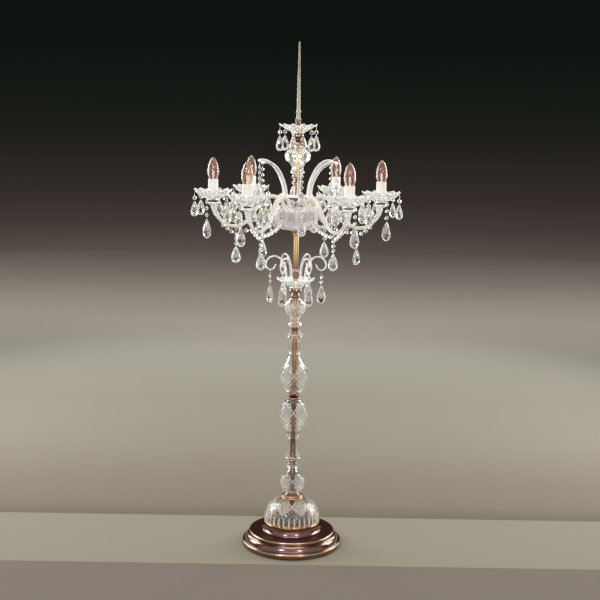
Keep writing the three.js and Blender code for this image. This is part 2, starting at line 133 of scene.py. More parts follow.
class Net:
    """The node tree of a material or of the world."""

    def __init__(self, owner: bpy.types.Material | bpy.types.World, output: str) -> None:
        """Empties the tree.

        Args:
            owner: the material or the world.
            output: the type of its output node.
        """
        self.owner = owner
        owner.use_nodes = True
        self.tree = owner.node_tree
        self.tree.nodes.clear()
        self.output = self.tree.nodes.new(output)
        self._coordinates: bpy.types.Node | None = None

    @classmethod
    def of_material(cls, name: str) -> "Net":
        """Starts a new material."""
        return cls(bpy.data.materials.new(name), "ShaderNodeOutputMaterial")

    def node(self, kind: str, settings: dict[str, object], sockets: dict[str | int, object]) -> bpy.types.Node:
        """Adds a node.

        Args:
            kind: the node's type.
            settings: properties set before the sockets; "stops" gives a ramp's places and colours.
            sockets: a value or a link for each named or numbered input.

        Returns:
            The new node.
        """
        made = self.tree.nodes.new(kind)
        for key, value in settings.items():
            if key != "stops":
                setattr(made, key, value)
                continue
            marks = made.color_ramp.elements
            marks.remove(marks[1])
            for k, (place, colour) in enumerate(value):
                mark = marks[0] if k == 0 else marks.new(place)
                mark.position = place
                mark.color = (*colour, 1.0)
        for key, value in sockets.items():
            self.feed(made.inputs[key], value)
        return made

    def feed(self, socket: bpy.types.NodeSocket, value: object) -> None:
        """Links or sets one input socket."""
        if isinstance(value, Signal):
            value = value.source
        if isinstance(value, bpy.types.NodeSocket):
            self.tree.links.new(value, socket)
        elif isinstance(value, tuple) and len(value) == 3 and len(socket.default_value) == 4:
            socket.default_value = (*value, 1.0)
        else:
            socket.default_value = value

    def where(self, output: str = "Object") -> bpy.types.NodeSocket:
        """The Object coordinates in metres, or the world's direction as "Generated"."""
        if self._coordinates is None:
            self._coordinates = self.node("ShaderNodeTexCoord", {}, {})
        return self._coordinates.outputs[output]

    def axes(self, output: str = "Object") -> tuple[Signal, Signal, Signal]:
        """The three parts of the coordinates."""
        parts = self.node("ShaderNodeSeparateXYZ", {}, {"Vector": self.where(output)}).outputs
        return Signal(self, parts[0]), Signal(self, parts[1]), Signal(self, parts[2])

    def noise(self, scale: float, detail: float = 3.0, stretch: Colour = (1, 1, 1)) -> Signal:
        """Soft noise over the surface.

        Args:
            scale: waves per metre.
            detail: octaves.
            stretch: how much finer it is along each axis.

        Returns:
            The noise, from 0 to 1.
        """
        mapping = self.node("ShaderNodeMapping", {}, {"Vector": self.where(), "Scale": stretch})
        sockets = {"Vector": mapping.outputs[0], "Scale": scale, "Detail": detail}
        return Signal(self, self.node("ShaderNodeTexNoise", {}, sockets).outputs[0])

    def attribute(self, name: str) -> Signal:
        """A named attribute of the piece, as a number."""
        node = self.node("ShaderNodeAttribute", {"attribute_name": name}, {})
        return Signal(self, node.outputs["Fac"])

    def ramp(self, value: Signal, stops: Sequence[tuple[float, Colour]]) -> bpy.types.NodeSocket:
        """A colour that runs through stops as the value goes from 0 to 1."""
        return self.node("ShaderNodeValToRGB", {"stops": stops}, {"Fac": value}).outputs["Color"]

    def blend(self, factor: Signal, first: object, second: object) -> bpy.types.NodeSocket:
        """Mixes two colours.

        Args:
            factor: 0 for the first, 1 for the second.
            first: a colour or its socket.
            second: a colour or its socket.

        Returns:
            The mixed colour's socket.
        """
        mix = self.node("ShaderNodeMix", {"data_type": "RGBA"}, {"Factor": factor})
        colours = [s for s in mix.inputs if s.type == "RGBA"]
        self.feed(colours[0], first)
        self.feed(colours[1], second)
        return next(s for s in mix.outputs if s.type == "RGBA")

    def bump(self, height: Signal, distance: float, strength: float = 1.0) -> bpy.types.NodeSocket:
        """A bumped normal; distance is in metres."""
        sockets = {"Height": height, "Distance": distance, "Strength": strength}
        return self.node("ShaderNodeBump", {}, sockets).outputs["Normal"]

    def principled(self, sockets: dict[str, object]) -> bpy.types.Node:
        """Adds a Principled shader with these inputs."""
        return self.node("ShaderNodeBsdfPrincipled", {}, sockets)

    def mixed(self, factor: object, first: object, second: object) -> bpy.types.NodeSocket:
        """Mixes two shaders: 0 gives the first and 1 the second."""
        return self.node("ShaderNodeMixShader", {}, {0: factor, 1: first, 2: second}).outputs[0]

    def finish(self, shader: bpy.types.NodeSocket) -> bpy.types.Material | bpy.types.World:
        """Links the shader to the output and returns the material or world."""
        self.tree.links.new(shader, self.output.inputs["Surface"])
        return self.owner


# Finishes


@dataclass(frozen=True)
class CopperBronze:
    """Lacquered copper bronze: brown in the flats, reddish where it is worn, golden on high lines, and, given a rise of
    heights, golden going up as a painted reflection.
    """

    name: str = "copper_bronze"
    dark: Colour = (0.085, 0.022, 0.01)
    warm: Colour = (0.22, 0.062, 0.022)
    gold: Colour = (0.8, 0.43, 0.18)
    matt: Colour = (0.09, 0.03, 0.024)
    roughness: float = 0.31
    coat: float = 1.0
    cloud: float = 26.0
    painted_reflection_rise: Point | None = None

    def make(self) -> bpy.types.Material:
        """Builds the material."""
        net = Net.of_material(self.name)
        cloud = net.noise(self.cloud, 3)
        fine = net.noise(520, 3, (1, 1, 4))
        patina = (cloud * 0.75 + fine * 0.25).between(0.34, 0.7)
        base = net.blend(patina, self.dark, self.warm)
        # Painted reflection: between the given heights the colour turns golden going up, standing in for the lamps'
        # reflection that grows brighter higher up.
        if self.painted_reflection_rise:
            base = net.blend(net.axes()[2].between(*self.painted_reflection_rise), base, self.gold)
        gilt = net.attribute("gilt")
        polish = (gilt + (fine - 0.5) * 0.25).between(0.3, 0.95)
        dull = (gilt * -1).between(0.2, 0.9)
        shader = net.principled({
            "Base Color": net.blend(dull, net.blend(polish, base, self.gold), self.matt),
            "Metallic": 1.0,
            "Roughness": self.roughness - polish * 0.06 + dull * 0.28 + (fine - 0.5) * 0.1,
            "Coat Weight": (1 - dull) * self.coat,
            "Normal": net.bump(fine, 0.00008, 0.3),
        })
        shader.inputs["Coat Roughness"].default_value = 0.14
        shader.inputs["Coat IOR"].default_value = 2.2
        return net.finish(shader.outputs[0])


@dataclass(frozen=True)
class ClearGlass:
    """Clear glass that lets lamplight through, mixed towards a lit white finish where its attribute says: painted
    highlight on cuts, rims and bevels, and in the bulbs a painted brown reflection.
    """

    name: str
    ior: float = 1.54
    tint: Colour = (0.99, 0.985, 0.965)
    cool: Colour = (0.95, 0.97, 1.0)
    warm: Colour = (1.0, 0.98, 0.95)
    patch: float = 90.0
    roughness: float = 0.01
    milk: float = 0.0
    sheen: float = 1.0
    sheen_roughness: float = 0.28
    painted_light_share: float = 0.35
    white: Colour = (0.96, 0.94, 0.88)

    def make(self) -> bpy.types.Material:
        """Builds the material."""
        net = Net.of_material(self.name)
        # Painted fire: blue and amber patches painted at random into the glass colour, standing in for the coloured
        # flashes that dispersion gives.
        painted_fire = net.noise(self.patch, 1)
        cooled = net.blend(painted_fire.between(0.6, 0.66), self.tint, self.cool)
        shader = net.principled({
            "Base Color": net.blend(painted_fire.between(0.4, 0.35), cooled, self.warm),
            "Roughness": self.roughness + net.noise(300, 2) * 0.02,
        })
        shader.inputs["IOR"].default_value = self.ior
        shader.inputs["Transmission Weight"].default_value = 1 - self.milk
        shader.inputs["Sheen Weight"].default_value = self.sheen
        shader.inputs["Sheen Roughness"].default_value = self.sheen_roughness
        # Painted light: a lit white, partly clear finish mixed in by the piece's attribute, standing in for the
        # highlights that cuts, rims and bevels catch; the bulbs mix in brown instead, a painted reflection.
        painted_light_shader = net.principled({"Base Color": self.white, "Roughness": 0.3, "Transmission Weight": 0.3})
        body = net.mixed(net.attribute("painted_light") * self.painted_light_share, shader.outputs[0], painted_light_shader.outputs[0])
        clear = net.node("ShaderNodeBsdfTransparent", {}, {"Color": (0.93, 0.94, 0.94)})
        path = net.node("ShaderNodeLightPath", {}, {})
        return net.finish(net.mixed(path.outputs["Is Shadow Ray"], body, clear.outputs[0]))


@dataclass(frozen=True)
class SpireGlass:
    """Drawn glass that is pale at its foot and takes on an amber tone towards its thin end."""

    name: str = "spire_glass"
    low: float = 1.44
    high: float = 1.56
    pale: Colour = (0.56, 0.52, 0.42)
    amber: Colour = (0.44, 0.34, 0.24)
    clearness: float = 0.15

    def make(self) -> bpy.types.Material:
        """Builds the material."""
        net = Net.of_material(self.name)
        height = net.axes()[2]
        cloud = (net.noise(60, 2) - 0.5) * 0.03
        shader = net.principled({
            "Base Color": net.blend((height + cloud).between(self.low, self.high), self.pale, self.amber),
            "Roughness": 0.06 + net.noise(400, 2) * 0.08,
        })
        shader.inputs["IOR"].default_value = 1.5
        shader.inputs["Transmission Weight"].default_value = self.clearness
        return net.finish(shader.outputs[0])


@dataclass(frozen=True)
class Plain:
    """An even finish with a little grain: plastic, felt, iron or plated metal."""

    name: str
    light: Colour
    dark: Colour
    roughness: float
    metallic: float = 0.0
    grain: float = 200.0
    relief: float = 0.0001
    sheen: float = 0.0

    def make(self) -> bpy.types.Material:
        """Builds the material."""
        net = Net.of_material(self.name)
        grain = net.noise(self.grain, 4)
        shader = net.principled({
            "Base Color": net.blend(grain.between(0.3, 0.7), self.dark, self.light),
            "Roughness": self.roughness + (grain - 0.5) * 0.15,
            "Normal": net.bump(grain, self.relief, 0.5),
        })
        shader.inputs["Metallic"].default_value = self.metallic
        shader.inputs["Sheen Weight"].default_value = self.sheen
        return net.finish(shader.outputs[0])


@dataclass(frozen=True)
class Finishes:
    """Every material of the lamp, made once."""

    copper: bpy.types.Material
    brass: bpy.types.Material
    tube: bpy.types.Material
    cut: bpy.types.Material
    petal: bpy.types.Material
    drop: bpy.types.Material
    bent: bpy.types.Material
    rope: bpy.types.Material
    spire: bpy.types.Material
    lamp: bpy.types.Material
    ivory: bpy.types.Material
    nickel: bpy.types.Material
    core: bpy.types.Material
    bore: bpy.types.Material
    press: bpy.types.Material
    steel: bpy.types.Material
    iron: bpy.types.Material
    felt: bpy.types.Material


def make_finishes() -> Finishes:
    """Makes the lamp's materials."""
    return Finishes(
        copper=CopperBronze().make(),
        # The pole and the stem tube turn golden going up: a painted reflection, not a change of metal.
        brass=CopperBronze("golden_brass", (0.24, 0.1, 0.045), (0.42, 0.19, 0.08), (0.9, 0.6, 0.28),
                           roughness=0.3, coat=0.3, cloud=12, painted_reflection_rise=(0.9, 0.985)).make(),
        tube=CopperBronze("tube_copper", (0.13, 0.04, 0.022), (0.34, 0.13, 0.06), (0.72, 0.42, 0.2),
                          roughness=0.3, coat=0.4, cloud=14, painted_reflection_rise=(0.42, 0.72)).make(),
        cut=ClearGlass("cut_crystal", ior=1.5, sheen_roughness=0.2, painted_light_share=0.75).make(),
        petal=ClearGlass("petal_crystal", ior=1.52, milk=0.18, painted_light_share=0.5).make(),
        # The drops' strong blue and amber patches are painted fire.
        drop=ClearGlass("drop_crystal", ior=1.62, cool=(0.5, 0.72, 1.0), warm=(1.0, 0.8, 0.5),
                        patch=110, painted_light_share=0.38).make(),
        bent=ClearGlass("bent_glass", ior=1.5, tint=(0.99, 0.98, 0.95), milk=0.32).make(),
        rope=ClearGlass("rope_glass", ior=1.48, tint=(0.99, 0.975, 0.94), milk=0.28).make(),
        spire=SpireGlass().make(),
        # The lamp glass's brown mixed-in finish is a painted reflection of brown surroundings.
        lamp=ClearGlass("lamp_glass", ior=1.45, tint=(0.96, 0.93, 0.9), cool=(0.96, 0.93, 0.9),
                        warm=(0.95, 0.91, 0.88), painted_light_share=0.11, white=(0.6, 0.28, 0.17)).make(),
        ivory=Plain("ivory_sleeve", (0.87, 0.845, 0.78), (0.82, 0.785, 0.7), 0.45, grain=60).make(),
        nickel=Plain("nickel_pin", (0.75, 0.72, 0.66), (0.5, 0.47, 0.42), 0.25, metallic=1.0).make(),
        core=Plain("amber_core", (0.78, 0.46, 0.17), (0.46, 0.25, 0.09), 0.4, grain=45).make(),
        bore=Plain("bore_shadow", (0.2, 0.17, 0.15), (0.1, 0.08, 0.07), 0.5, grain=40).make(),
        press=Plain("glass_press", (0.9, 0.9, 0.87), (0.7, 0.7, 0.68), 0.3, grain=300).make(),
        steel=Plain("steel_rod", (0.5, 0.49, 0.46), (0.3, 0.29, 0.27), 0.4, metallic=1.0).make(),
        iron=Plain("cast_iron", (0.09, 0.088, 0.085), (0.04, 0.04, 0.04), 0.8, grain=500,
                   relief=0.0006).make(),
        felt=Plain("green_felt", (0.05, 0.09, 0.06), (0.03, 0.055, 0.04), 0.95, grain=1500,
                   relief=0.0004, sheen=0.4).make(),
    )


# Mesh helpers


def spline(points: Sequence[Vector], per_span: int) -> list[Vector]:
    """Points along a smooth curve through the given ones.

    Args:
        points: what the curve goes through.
        per_span: steps between two of them.

    Returns:
        The points, both ends included.
    """
    padded = [points[0] * 2 - points[1], *points, points[-1] * 2 - points[-2]]
    found = []
    for a, b, c, d in zip(padded, padded[1:], padded[2:], padded[3:]):
        for k in range(per_span):
            t = k / per_span
            found.append(0.5 * (
                2 * b + (c - a) * t + (2 * a - 5 * b + 4 * c - d) * t * t
                + (3 * b - a - 3 * c + d) * t ** 3
            ))
    found.append(points[-1].copy())
    return found


def evenly(points: Sequence[Vector], pitch: float) -> list[Vector]:
    """Points a steady distance apart on a smooth curve through the given ones.

    Args:
        points: what the curve goes through.
        pitch: about how far apart, in metres.

    Returns:
        The points, both ends included.
    """
    fine = spline(points, 24)
    lengths = [(b - a).length for a, b in zip(fine, fine[1:])]
    count = max(2, round(sum(lengths) / pitch))
    step = sum(lengths) / count
    found = [fine[0]]
    walked = 0.0
    for (a, b), length in zip(zip(fine, fine[1:]), lengths):
        while len(found) < count and walked + length >= len(found) * step:
            found.append(a.lerp(b, (len(found) * step - walked) / length))
        walked += length
    found.append(fine[-1])
    return found


@dataclass(frozen=True)
class Run:
    """A stretch of a turned outline, from corner to corner, in mm of radius and height.

    With a pitch the rows are that far apart; without one, per_span rows lie between its points.
    Gilt runs from -1, matt, over 0, brown, to 1, golden. The painted light runs from 0, clear, to 1, white: a painted
    highlight.
    """

    points: tuple[Point, ...]
    per_span: int = 1
    cut: float = 0.0
    gilt: float = 0.0
    pitch: float = 0.0
    painted_light: float = 0.0

    def rows(self) -> list[Vector]:
        """The points that the run puts on the outline, in metres."""
        points = [Vector((r * MM, 0, z * MM)) for r, z in self.points]
        if self.pitch:
            return evenly(points, self.pitch * MM)
        return spline(points, self.per_span) if self.per_span > 1 else points


def turned(runs: Sequence[Run], steps: int, closed: bool = True) -> bmesh.types.BMesh:
    """Turns an outline about the stem.

    Args:
        runs: the outline's stretches, each starting where the last one ends.
        steps: faces round the turn.
        closed: whether the outline closes on itself.

    Returns:
        The turned shell, with its cut, gilt and painted highlight kept on its points.
    """
    bm = bmesh.new()
    cut = bm.verts.layers.float.new("cut")
    gilt = bm.verts.layers.float.new("gilt")
    painted_light = bm.verts.layers.float.new("painted_light")
    chain: list[bmesh.types.BMVert] = []
    for run in runs:
        rows = run.rows()
        for i, place in enumerate(rows):
            if chain and (place - chain[-1].co).length < 1e-7:
                continue
            vert = bm.verts.new(place)
            vert[cut] = run.cut if 0 < i < len(rows) - 1 else 0.0
            vert[gilt] = run.gilt
            vert[painted_light] = run.painted_light
            chain.append(vert)
    if closed and (chain[0].co - chain[-1].co).length < 1e-7:
        bm.verts.remove(chain.pop())
    edges = [bm.edges.new(pair) for pair in zip(chain, chain[1:])]
    if closed and chain[0].co.x > 1e-6:
        edges.append(bm.edges.new((chain[-1], chain[0])))
    bmesh.ops.spin(
        bm, geom=[*chain, *edges], cent=(0, 0, 0), axis=(0, 0, 1), angle=2 * math.pi,
        steps=steps, use_merge=True,
    )
    bmesh.ops.remove_doubles(bm, verts=bm.verts, dist=1e-6)
    bmesh.ops.recalc_face_normals(bm, faces=bm.faces)
    return bm


def carve(bm: bmesh.types.BMesh, depth: Callable[[float, float, float], float], white: float = 0.8) -> None:
    """Sinks the cut points of a turned shell along their normals and paints highlight on the cuts: the deeper, the
    whiter.

    Args:
        bm: the shell.
        depth: gives the depth in mm at an angle, a height and a radius in mm.
        white: the depth in mm from which a cut's painted highlight is quite white.
    """
    cut = bm.verts.layers.float["cut"]
    painted_light = bm.verts.layers.float["painted_light"]
    bm.normal_update()
    moves = []
    for vert in bm.verts:
        if vert[cut] > 0:
            angle = math.atan2(vert.co.y, vert.co.x)
            sunk = vert[cut] * depth(angle, vert.co.z / MM, math.hypot(vert.co.x, vert.co.y) / MM)
            # Painted highlight: deeper cuts are whitened, as if they caught the lamps.
            vert[painted_light] = max(vert[painted_light], clamp(abs(sunk) / white))
            moves.append((vert, vert.normal * (sunk * MM)))
    for vert, move in moves:
        vert.co -= move


def valley(distance: float, half_width: float, depth: float) -> float:
    """A V cut's depth at a distance from its line, all in one unit."""
    return max(0.0, 1 - abs(distance) / half_width) * depth


def to_line(value: float, pitch: float) -> float:
    """How far a value is from the nearest whole number of pitches."""
    return abs((value / pitch + 0.5) % 1 - 0.5) * pitch


def flutes(angle: float, count: int, start: float = 0.0) -> float:
    """Hollow flutes round a piece: 1 in the middle of each and 0 on the ridges between."""
    return 1 - abs(math.sin(count * (angle - start) / 2)) ** 1.3


def clamp(value: float) -> float:
    """The value, held between 0 and 1."""
    return min(max(value, 0.0), 1.0)


@dataclass(frozen=True)
class Feathering:
    """The traditional belly cut: crossing lines with hatched arches under them and leaf cuts beside.

    Heights, widths and depths are in mm.
    """

    count: int
    low: float
    crown: float
    top: float
    radius: float
    hatch: float = 12.5
    line: float = 1.6
    line_depth: float = 1.0
    groove: float = 1.1
    groove_depth: float = 0.7
    leaves: int = 3
    leaf_depth: float = 0.8
    start: float = -math.pi / 2

    def depth(self, angle: float, height: float) -> float:
        """How deep the glass is cut.

        Args:
            angle: about the stem.
            height: in mm.

        Returns:
            The depth in mm.
        """
        sector = 2 * math.pi / self.count
        across = ((angle - self.start) / sector + 0.5) % 1 * 2 - 1
        half = self.radius * sector / 2
        tall = self.crown - self.low
        slant = half / math.hypot(half, tall)
        over_leg = (height - self.low - tall * (1 - abs(across))) * slant
        over_cross = (height - self.crown - tall * abs(across)) * slant
        found = max(valley(gap, self.line, self.line_depth) for gap in (over_leg, over_cross))
        if over_leg < 0:
            rise = (height - self.low) * half / tall
            for lean in (across * half + rise, across * half - rise):
                found = max(found, valley(to_line(lean, self.hatch), self.groove, self.groove_depth))
            return found * clamp((height - self.low + 24) / 8)
        if over_cross < 0:
            beside, above = (1 - abs(across)) * half, height - self.low
            spread = math.atan2(half, tall)
            away = math.hypot(beside, above)
            apart = to_line(math.atan2(beside, above), spread / self.leaves) * away
            found = max(found, valley(apart, self.groove, self.leaf_depth) * clamp(away / 10))
        return found * clamp((self.top - height) / 6)


def upright(path: Sequence[Vector], k: int) -> Matrix:
    """The frame at a point of a curve in the XZ plane: its Z runs along the curve."""
    ahead = path[min(k + 1, len(path) - 1)] - path[max(k - 1, 0)]
    along = ahead.normalized()
    side = Vector((0, 1, 0))
    across = side.cross(along)
    turn = Matrix((across, side, along)).transposed().to_4x4()
    return Matrix.Translation(path[k]) @ turn


def swept(
    path: Sequence[Vector],
    radius: float,
    sides: int,
    lobes: int = 0,
    lobe_depth: float = 0.0,
    twist: float = 0.0,
    scale_at: Callable[[float], float] = lambda t: 1.0,
) -> bmesh.types.BMesh:
    """Draws a round or lobed section along a curve in the XZ plane.

    Args:
        path: the curve's points, in metres.
        radius: the section's radius, in metres.
        sides: points round the section.
        lobes: how many strands the section has, or none.
        lobe_depth: how deep the gaps between the strands are, as a share of the radius.
        twist: turns of the strands over the whole length.
        scale_at: the section's scale from 0 at the start to 1 at the end.

    Returns:
        The closed rod.
    """
    bm = bmesh.new()
    ring = bmesh.ops.create_circle(bm, segments=sides, radius=radius)["verts"]
    for vert in ring:
        angle = math.atan2(vert.co.y, vert.co.x)
        share = 1 - lobe_depth * (1 - abs(math.cos(lobes * angle / 2))) if lobes else 1.0
        vert.co *= share

    def place(k: int) -> Matrix:
        share = k / (len(path) - 1)
        spin = Matrix.Rotation(2 * math.pi * twist * share, 4, "Z")
        return upright(path, k) @ spin @ Matrix.Scale(scale_at(share), 4)

    bmesh.ops.transform(bm, matrix=place(0), verts=ring)
    edges = list({e for v in ring for e in v.link_edges})
    first = edges
    for k in range(1, len(path)):
        made = bmesh.ops.extrude_edge_only(bm, edges=edges)["geom"]
        verts = [g for g in made if isinstance(g, bmesh.types.BMVert)]
        edges = [g for g in made if isinstance(g, bmesh.types.BMEdge)]
        bmesh.ops.transform(bm, matrix=place(k) @ place(k - 1).inverted(), verts=verts)
    bmesh.ops.contextual_create(bm, geom=first)
    bmesh.ops.contextual_create(bm, geom=edges)
    bmesh.ops.recalc_face_normals(bm, faces=bm.faces)
    return bm


def stamp(target: bmesh.types.BMesh, source: bmesh.types.BMesh, matrix: Matrix) -> None:
    """Adds a moved copy of one shape to another."""
    scratch = bpy.data.meshes.new("scratch")
    source.to_mesh(scratch)
    scratch.transform(matrix)
    target.from_mesh(scratch)
    bpy.data.meshes.remove(scratch)


def about_stem(azimuth: float, radius: float = 0.0, height: float = 0.0) -> Matrix:
    """A place at an azimuth in degrees, a radius and a height in mm, turned to face out."""
    turn = Matrix.Rotation(math.radians(azimuth), 4, "Z")
    return turn @ Matrix.Translation((radius * MM, 0, height * MM))


def hung(azimuth: float, radius: float, height: float) -> Matrix:
    """A place like about_stem, turned as loose stones hang: broadside to the front or the back."""
    broadside = 90 if math.sin(math.radians(azimuth)) > 0.01 else 270
    turn = (broadside - azimuth + 180) % 360 - 180
    sway = 26 * math.sin(azimuth * 0.9 + radius)
    return about_stem(azimuth, radius, height) @ Matrix.Rotation(math.radians(0.9 * turn + sway), 4, "Z")


def piece(
    name: str,
    bm: bmesh.types.BMesh,
    material: bpy.types.Material,
    body: str = STAND,
    replaced: Iterable[str] = (),
    crease: float = 38.0,
) -> bpy.types.Object:
    """Makes a finished piece of the lamp from its shape.

    Args:
        name: the piece's name.
        bm: its shape, in place.
        material: its finish.
        body: the CAD body that it rides on.
        replaced: the CAD nodes that it stands for.
        crease: edges sharper than this many degrees stay sharp.

    Returns:
        The object.
    """
    mesh = bpy.data.meshes.new(name)
    bm.to_mesh(mesh)
    bm.free()
    mesh.polygons.foreach_set("use_smooth", [True] * len(mesh.polygons))
    mesh.set_sharp_from_angle(angle=math.radians(crease))
    mesh.materials.append(material)
    made = bpy.data.objects.new(name, mesh)
    bpy.context.scene.collection.objects.link(made)
    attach(made, body)
    if replaced:
        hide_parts(*replaced)
    log.info("%s: %d faces on %s", name, len(mesh.polygons), body)
    return made


def centre_of(node: str) -> Vector:
    """The middle of a CAD node's box."""
    low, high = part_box(node)
    return (low + high) / 2


def azimuth_of(node: str) -> float:
    """The azimuth of a CAD node's middle, in degrees."""
    at = centre_of(node)
    return math.degrees(math.atan2(at.y, at.x))


# The crystals


@dataclass(frozen=True)
class Crystals:
    """The hanging cut stones and the wire pins that link them, in mm."""

    bead_thickness: float = 0.72
    drop_thickness: float = 0.52
    girdle: int = 14
    pin_wire: float = 0.42
    pin_ring: float = 2.4

    def bead(self, radius: float) -> bmesh.types.BMesh:
        """An octagon bead, flat towards X, about the origin."""
        bm = bmesh.new()
        turn = Matrix.Rotation(math.pi / 2, 4, "Y") @ Matrix.Rotation(math.pi / 8, 4, "Z")
        bmesh.ops.create_circle(bm, cap_ends=True, segments=8, radius=radius * MM)
        face = next(iter(bm.faces))
        raised = bmesh.ops.extrude_face_region(bm, geom=[face], use_keep_orig=False)["geom"]
        verts = [g for g in raised if isinstance(g, bmesh.types.BMVert)]
        bmesh.ops.scale(bm, vec=(0.52, 0.52, 1), verts=verts)
        bmesh.ops.translate(bm, vec=(0, 0, radius * self.bead_thickness * MM), verts=verts)
        self._mirror(bm)
        bmesh.ops.transform(bm, matrix=turn, verts=bm.verts)
        self._paint_bevel_light(bm)
        return bm

    def almond(self, length: float, radius: float) -> bmesh.types.BMesh:
        """A pear-shaped drop, flat towards X, hanging down from the origin."""
        bm = bmesh.new()
        bmesh.ops.create_circle(bm, cap_ends=True, segments=self.girdle, radius=1.0)
        for vert in bm.verts:
            angle = math.atan2(vert.co.x, vert.co.y)
            share = (1 - math.cos(angle)) / 2
            width = math.sin(angle) * (0.38 + 0.92 * share ** 0.8)
            vert.co = Vector((width * radius * MM, -share ** 0.92 * length * MM, 0))
        face = next(iter(bm.faces))
        middle = Vector((0, -0.66 * length * MM, 0))
        for shrink, rise in ((0.74, 0.58), (0.56, 0.42)):
            raised = bmesh.ops.extrude_face_region(bm, geom=[face])["geom"]
            verts = [g for g in raised if isinstance(g, bmesh.types.BMVert)]
            face = next(g for g in raised if isinstance(g, bmesh.types.BMFace))
            move = Matrix.Translation(middle) @ Matrix.Diagonal((shrink, shrink, 1, 1))
            bmesh.ops.transform(bm, matrix=move @ Matrix.Translation(-middle), verts=verts)
            thickness = radius * self.drop_thickness * rise * MM
            bmesh.ops.translate(bm, vec=(0, 0, thickness), verts=verts)
        bmesh.ops.poke(bm, faces=[face], offset=radius * self.drop_thickness * 0.1 * MM)
        self._mirror(bm)
        stand = Matrix(((0, 0, 1, 0), (1, 0, 0, 0), (0, 1, 0, 0), (0, 0, 0, 1)))
        bmesh.ops.transform(bm, matrix=stand, verts=bm.verts)
        bmesh.ops.recalc_face_normals(bm, faces=bm.faces)
        self._paint_bevel_light(bm)
        return bm

    def _paint_bevel_light(self, bm: bmesh.types.BMesh) -> None:
        """Paints highlight on the bevels, as if they caught the light, and leaves the table that faces X clear."""
        painted_light = bm.faces.layers.float.new("painted_light")
        bm.normal_update()
        bm.faces.index_update()
        for face in bm.faces:
            bevel = clamp((0.92 - abs(face.normal.x)) / 0.25)
            face[painted_light] = bevel * (0.3 if face.index % 3 == 1 else 1.0)

    def _mirror(self, bm: bmesh.types.BMesh) -> None:
        """Closes a half stone by its mirror image below z = 0."""
        flat = [f for f in bm.faces if all(abs(v.co.z) < 1e-9 for v in f.verts)]
        bmesh.ops.delete(bm, geom=flat, context="FACES_ONLY")
        geometry = [*bm.verts, *bm.edges, *bm.faces]
        bmesh.ops.mirror(bm, geom=geometry, axis="Z", merge_dist=1e-6)
        bmesh.ops.remove_doubles(bm, verts=bm.verts, dist=1e-7)
        bmesh.ops.recalc_face_normals(bm, faces=bm.faces)

    def pin(self) -> bmesh.types.BMesh:
        """A small wire ring, upright and edge-on to X, about the origin."""
        bm = bmesh.new()
        ring = bmesh.ops.create_circle(bm, segments=5, radius=self.pin_wire * MM)["verts"]
        bmesh.ops.rotate(bm, verts=ring, cent=(0, 0, 0), matrix=Matrix.Rotation(math.pi / 2, 3, "X"))
        bmesh.ops.translate(bm, verts=ring, vec=(self.pin_ring * MM, 0, 0))
        edges = list(bm.edges)
        bmesh.ops.spin(
            bm, geom=[*ring, *edges], cent=(0, 0, 0), axis=(0, 0, 1), angle=2 * math.pi,
            steps=10, use_merge=True,
        )
        bmesh.ops.remove_doubles(bm, verts=bm.verts, dist=1e-7)
        bmesh.ops.recalc_face_normals(bm, faces=bm.faces)
        bmesh.ops.rotate(bm, verts=bm.verts, cent=(0, 0, 0), matrix=Matrix.Rotation(math.pi / 2, 3, "X"))
        return bm


@dataclass(frozen=True)
class Strand:
    """Stones on pins, hanging down from a point: some beads and then a drop, in mm."""

    beads: int
    bead_radius: float
    pitch: float
    lead: float
    drop_length: float
    drop_radius: float


class StrandShop:
    """Collects the glass and the pins of many strands into two shapes."""

    def __init__(self, crystals: Crystals) -> None:
        """Starts with no strand.

        Args:
            crystals: the stones' shapes.
        """
        self.crystals = crystals
        self.glass = bmesh.new()
        self.pins = bmesh.new()

    def add(self, strand: Strand, place: Matrix) -> None:
        """Hangs a strand.

        Args:
            strand: its stones.
            place: the point that it hangs from; the stones face its X.
        """
        bead = self.crystals.bead(strand.bead_radius)
        almond = self.crystals.almond(strand.drop_length, strand.drop_radius)
        pin = self.crystals.pin()
        for k in range(strand.beads):
            height = -strand.lead - (k + 0.45) * strand.pitch
            link = height + strand.bead_radius + self.crystals.pin_ring * 0.7
            stamp(self.glass, bead, place @ Matrix.Translation((0, 0, height * MM)))
            stamp(self.pins, pin, place @ Matrix.Translation((0, 0, link * MM)))
        if strand.lead > 2 * self.crystals.pin_ring:
            stretch = Matrix.Diagonal((1, 1, strand.lead / (2 * self.crystals.pin_ring), 1))
            stamp(self.pins, pin, place @ Matrix.Translation((0, 0, -strand.lead / 2 * MM)) @ stretch)
        top = -strand.lead - strand.beads * strand.pitch
        stamp(self.glass, almond, place @ Matrix.Translation((0, 0, top * MM)))
        stamp(self.pins, pin, place @ Matrix.Translation((0, 0, (top + 1.2) * MM)))
        for shape in (bead, almond, pin):
            shape.free()

    def bead_at(self, radius: float, place: Matrix) -> None:
        """Adds one loose bead with a pin beside it."""
        bead = self.crystals.bead(radius)
        pin = self.crystals.pin()
        stamp(self.glass, bead, place)
        stamp(self.pins, pin, place @ Matrix.Translation((0, 0, (radius + 1.2) * MM)))
        bead.free()
        pin.free()

    def close(self, name: str, finishes: Finishes, body: str = STAND, replaced: Iterable[str] = ()) -> None:
        """Makes the two pieces.

        Args:
            name: the start of their names.
            finishes: the lamp's materials.
            body: the CAD body that they ride on.
            replaced: the CAD nodes that the glass stands for.
        """
        piece(f"{name}_crystals", self.glass, finishes.drop, body, replaced, crease=8)
        piece(f"{name}_pins", self.pins, finishes.nickel, body)


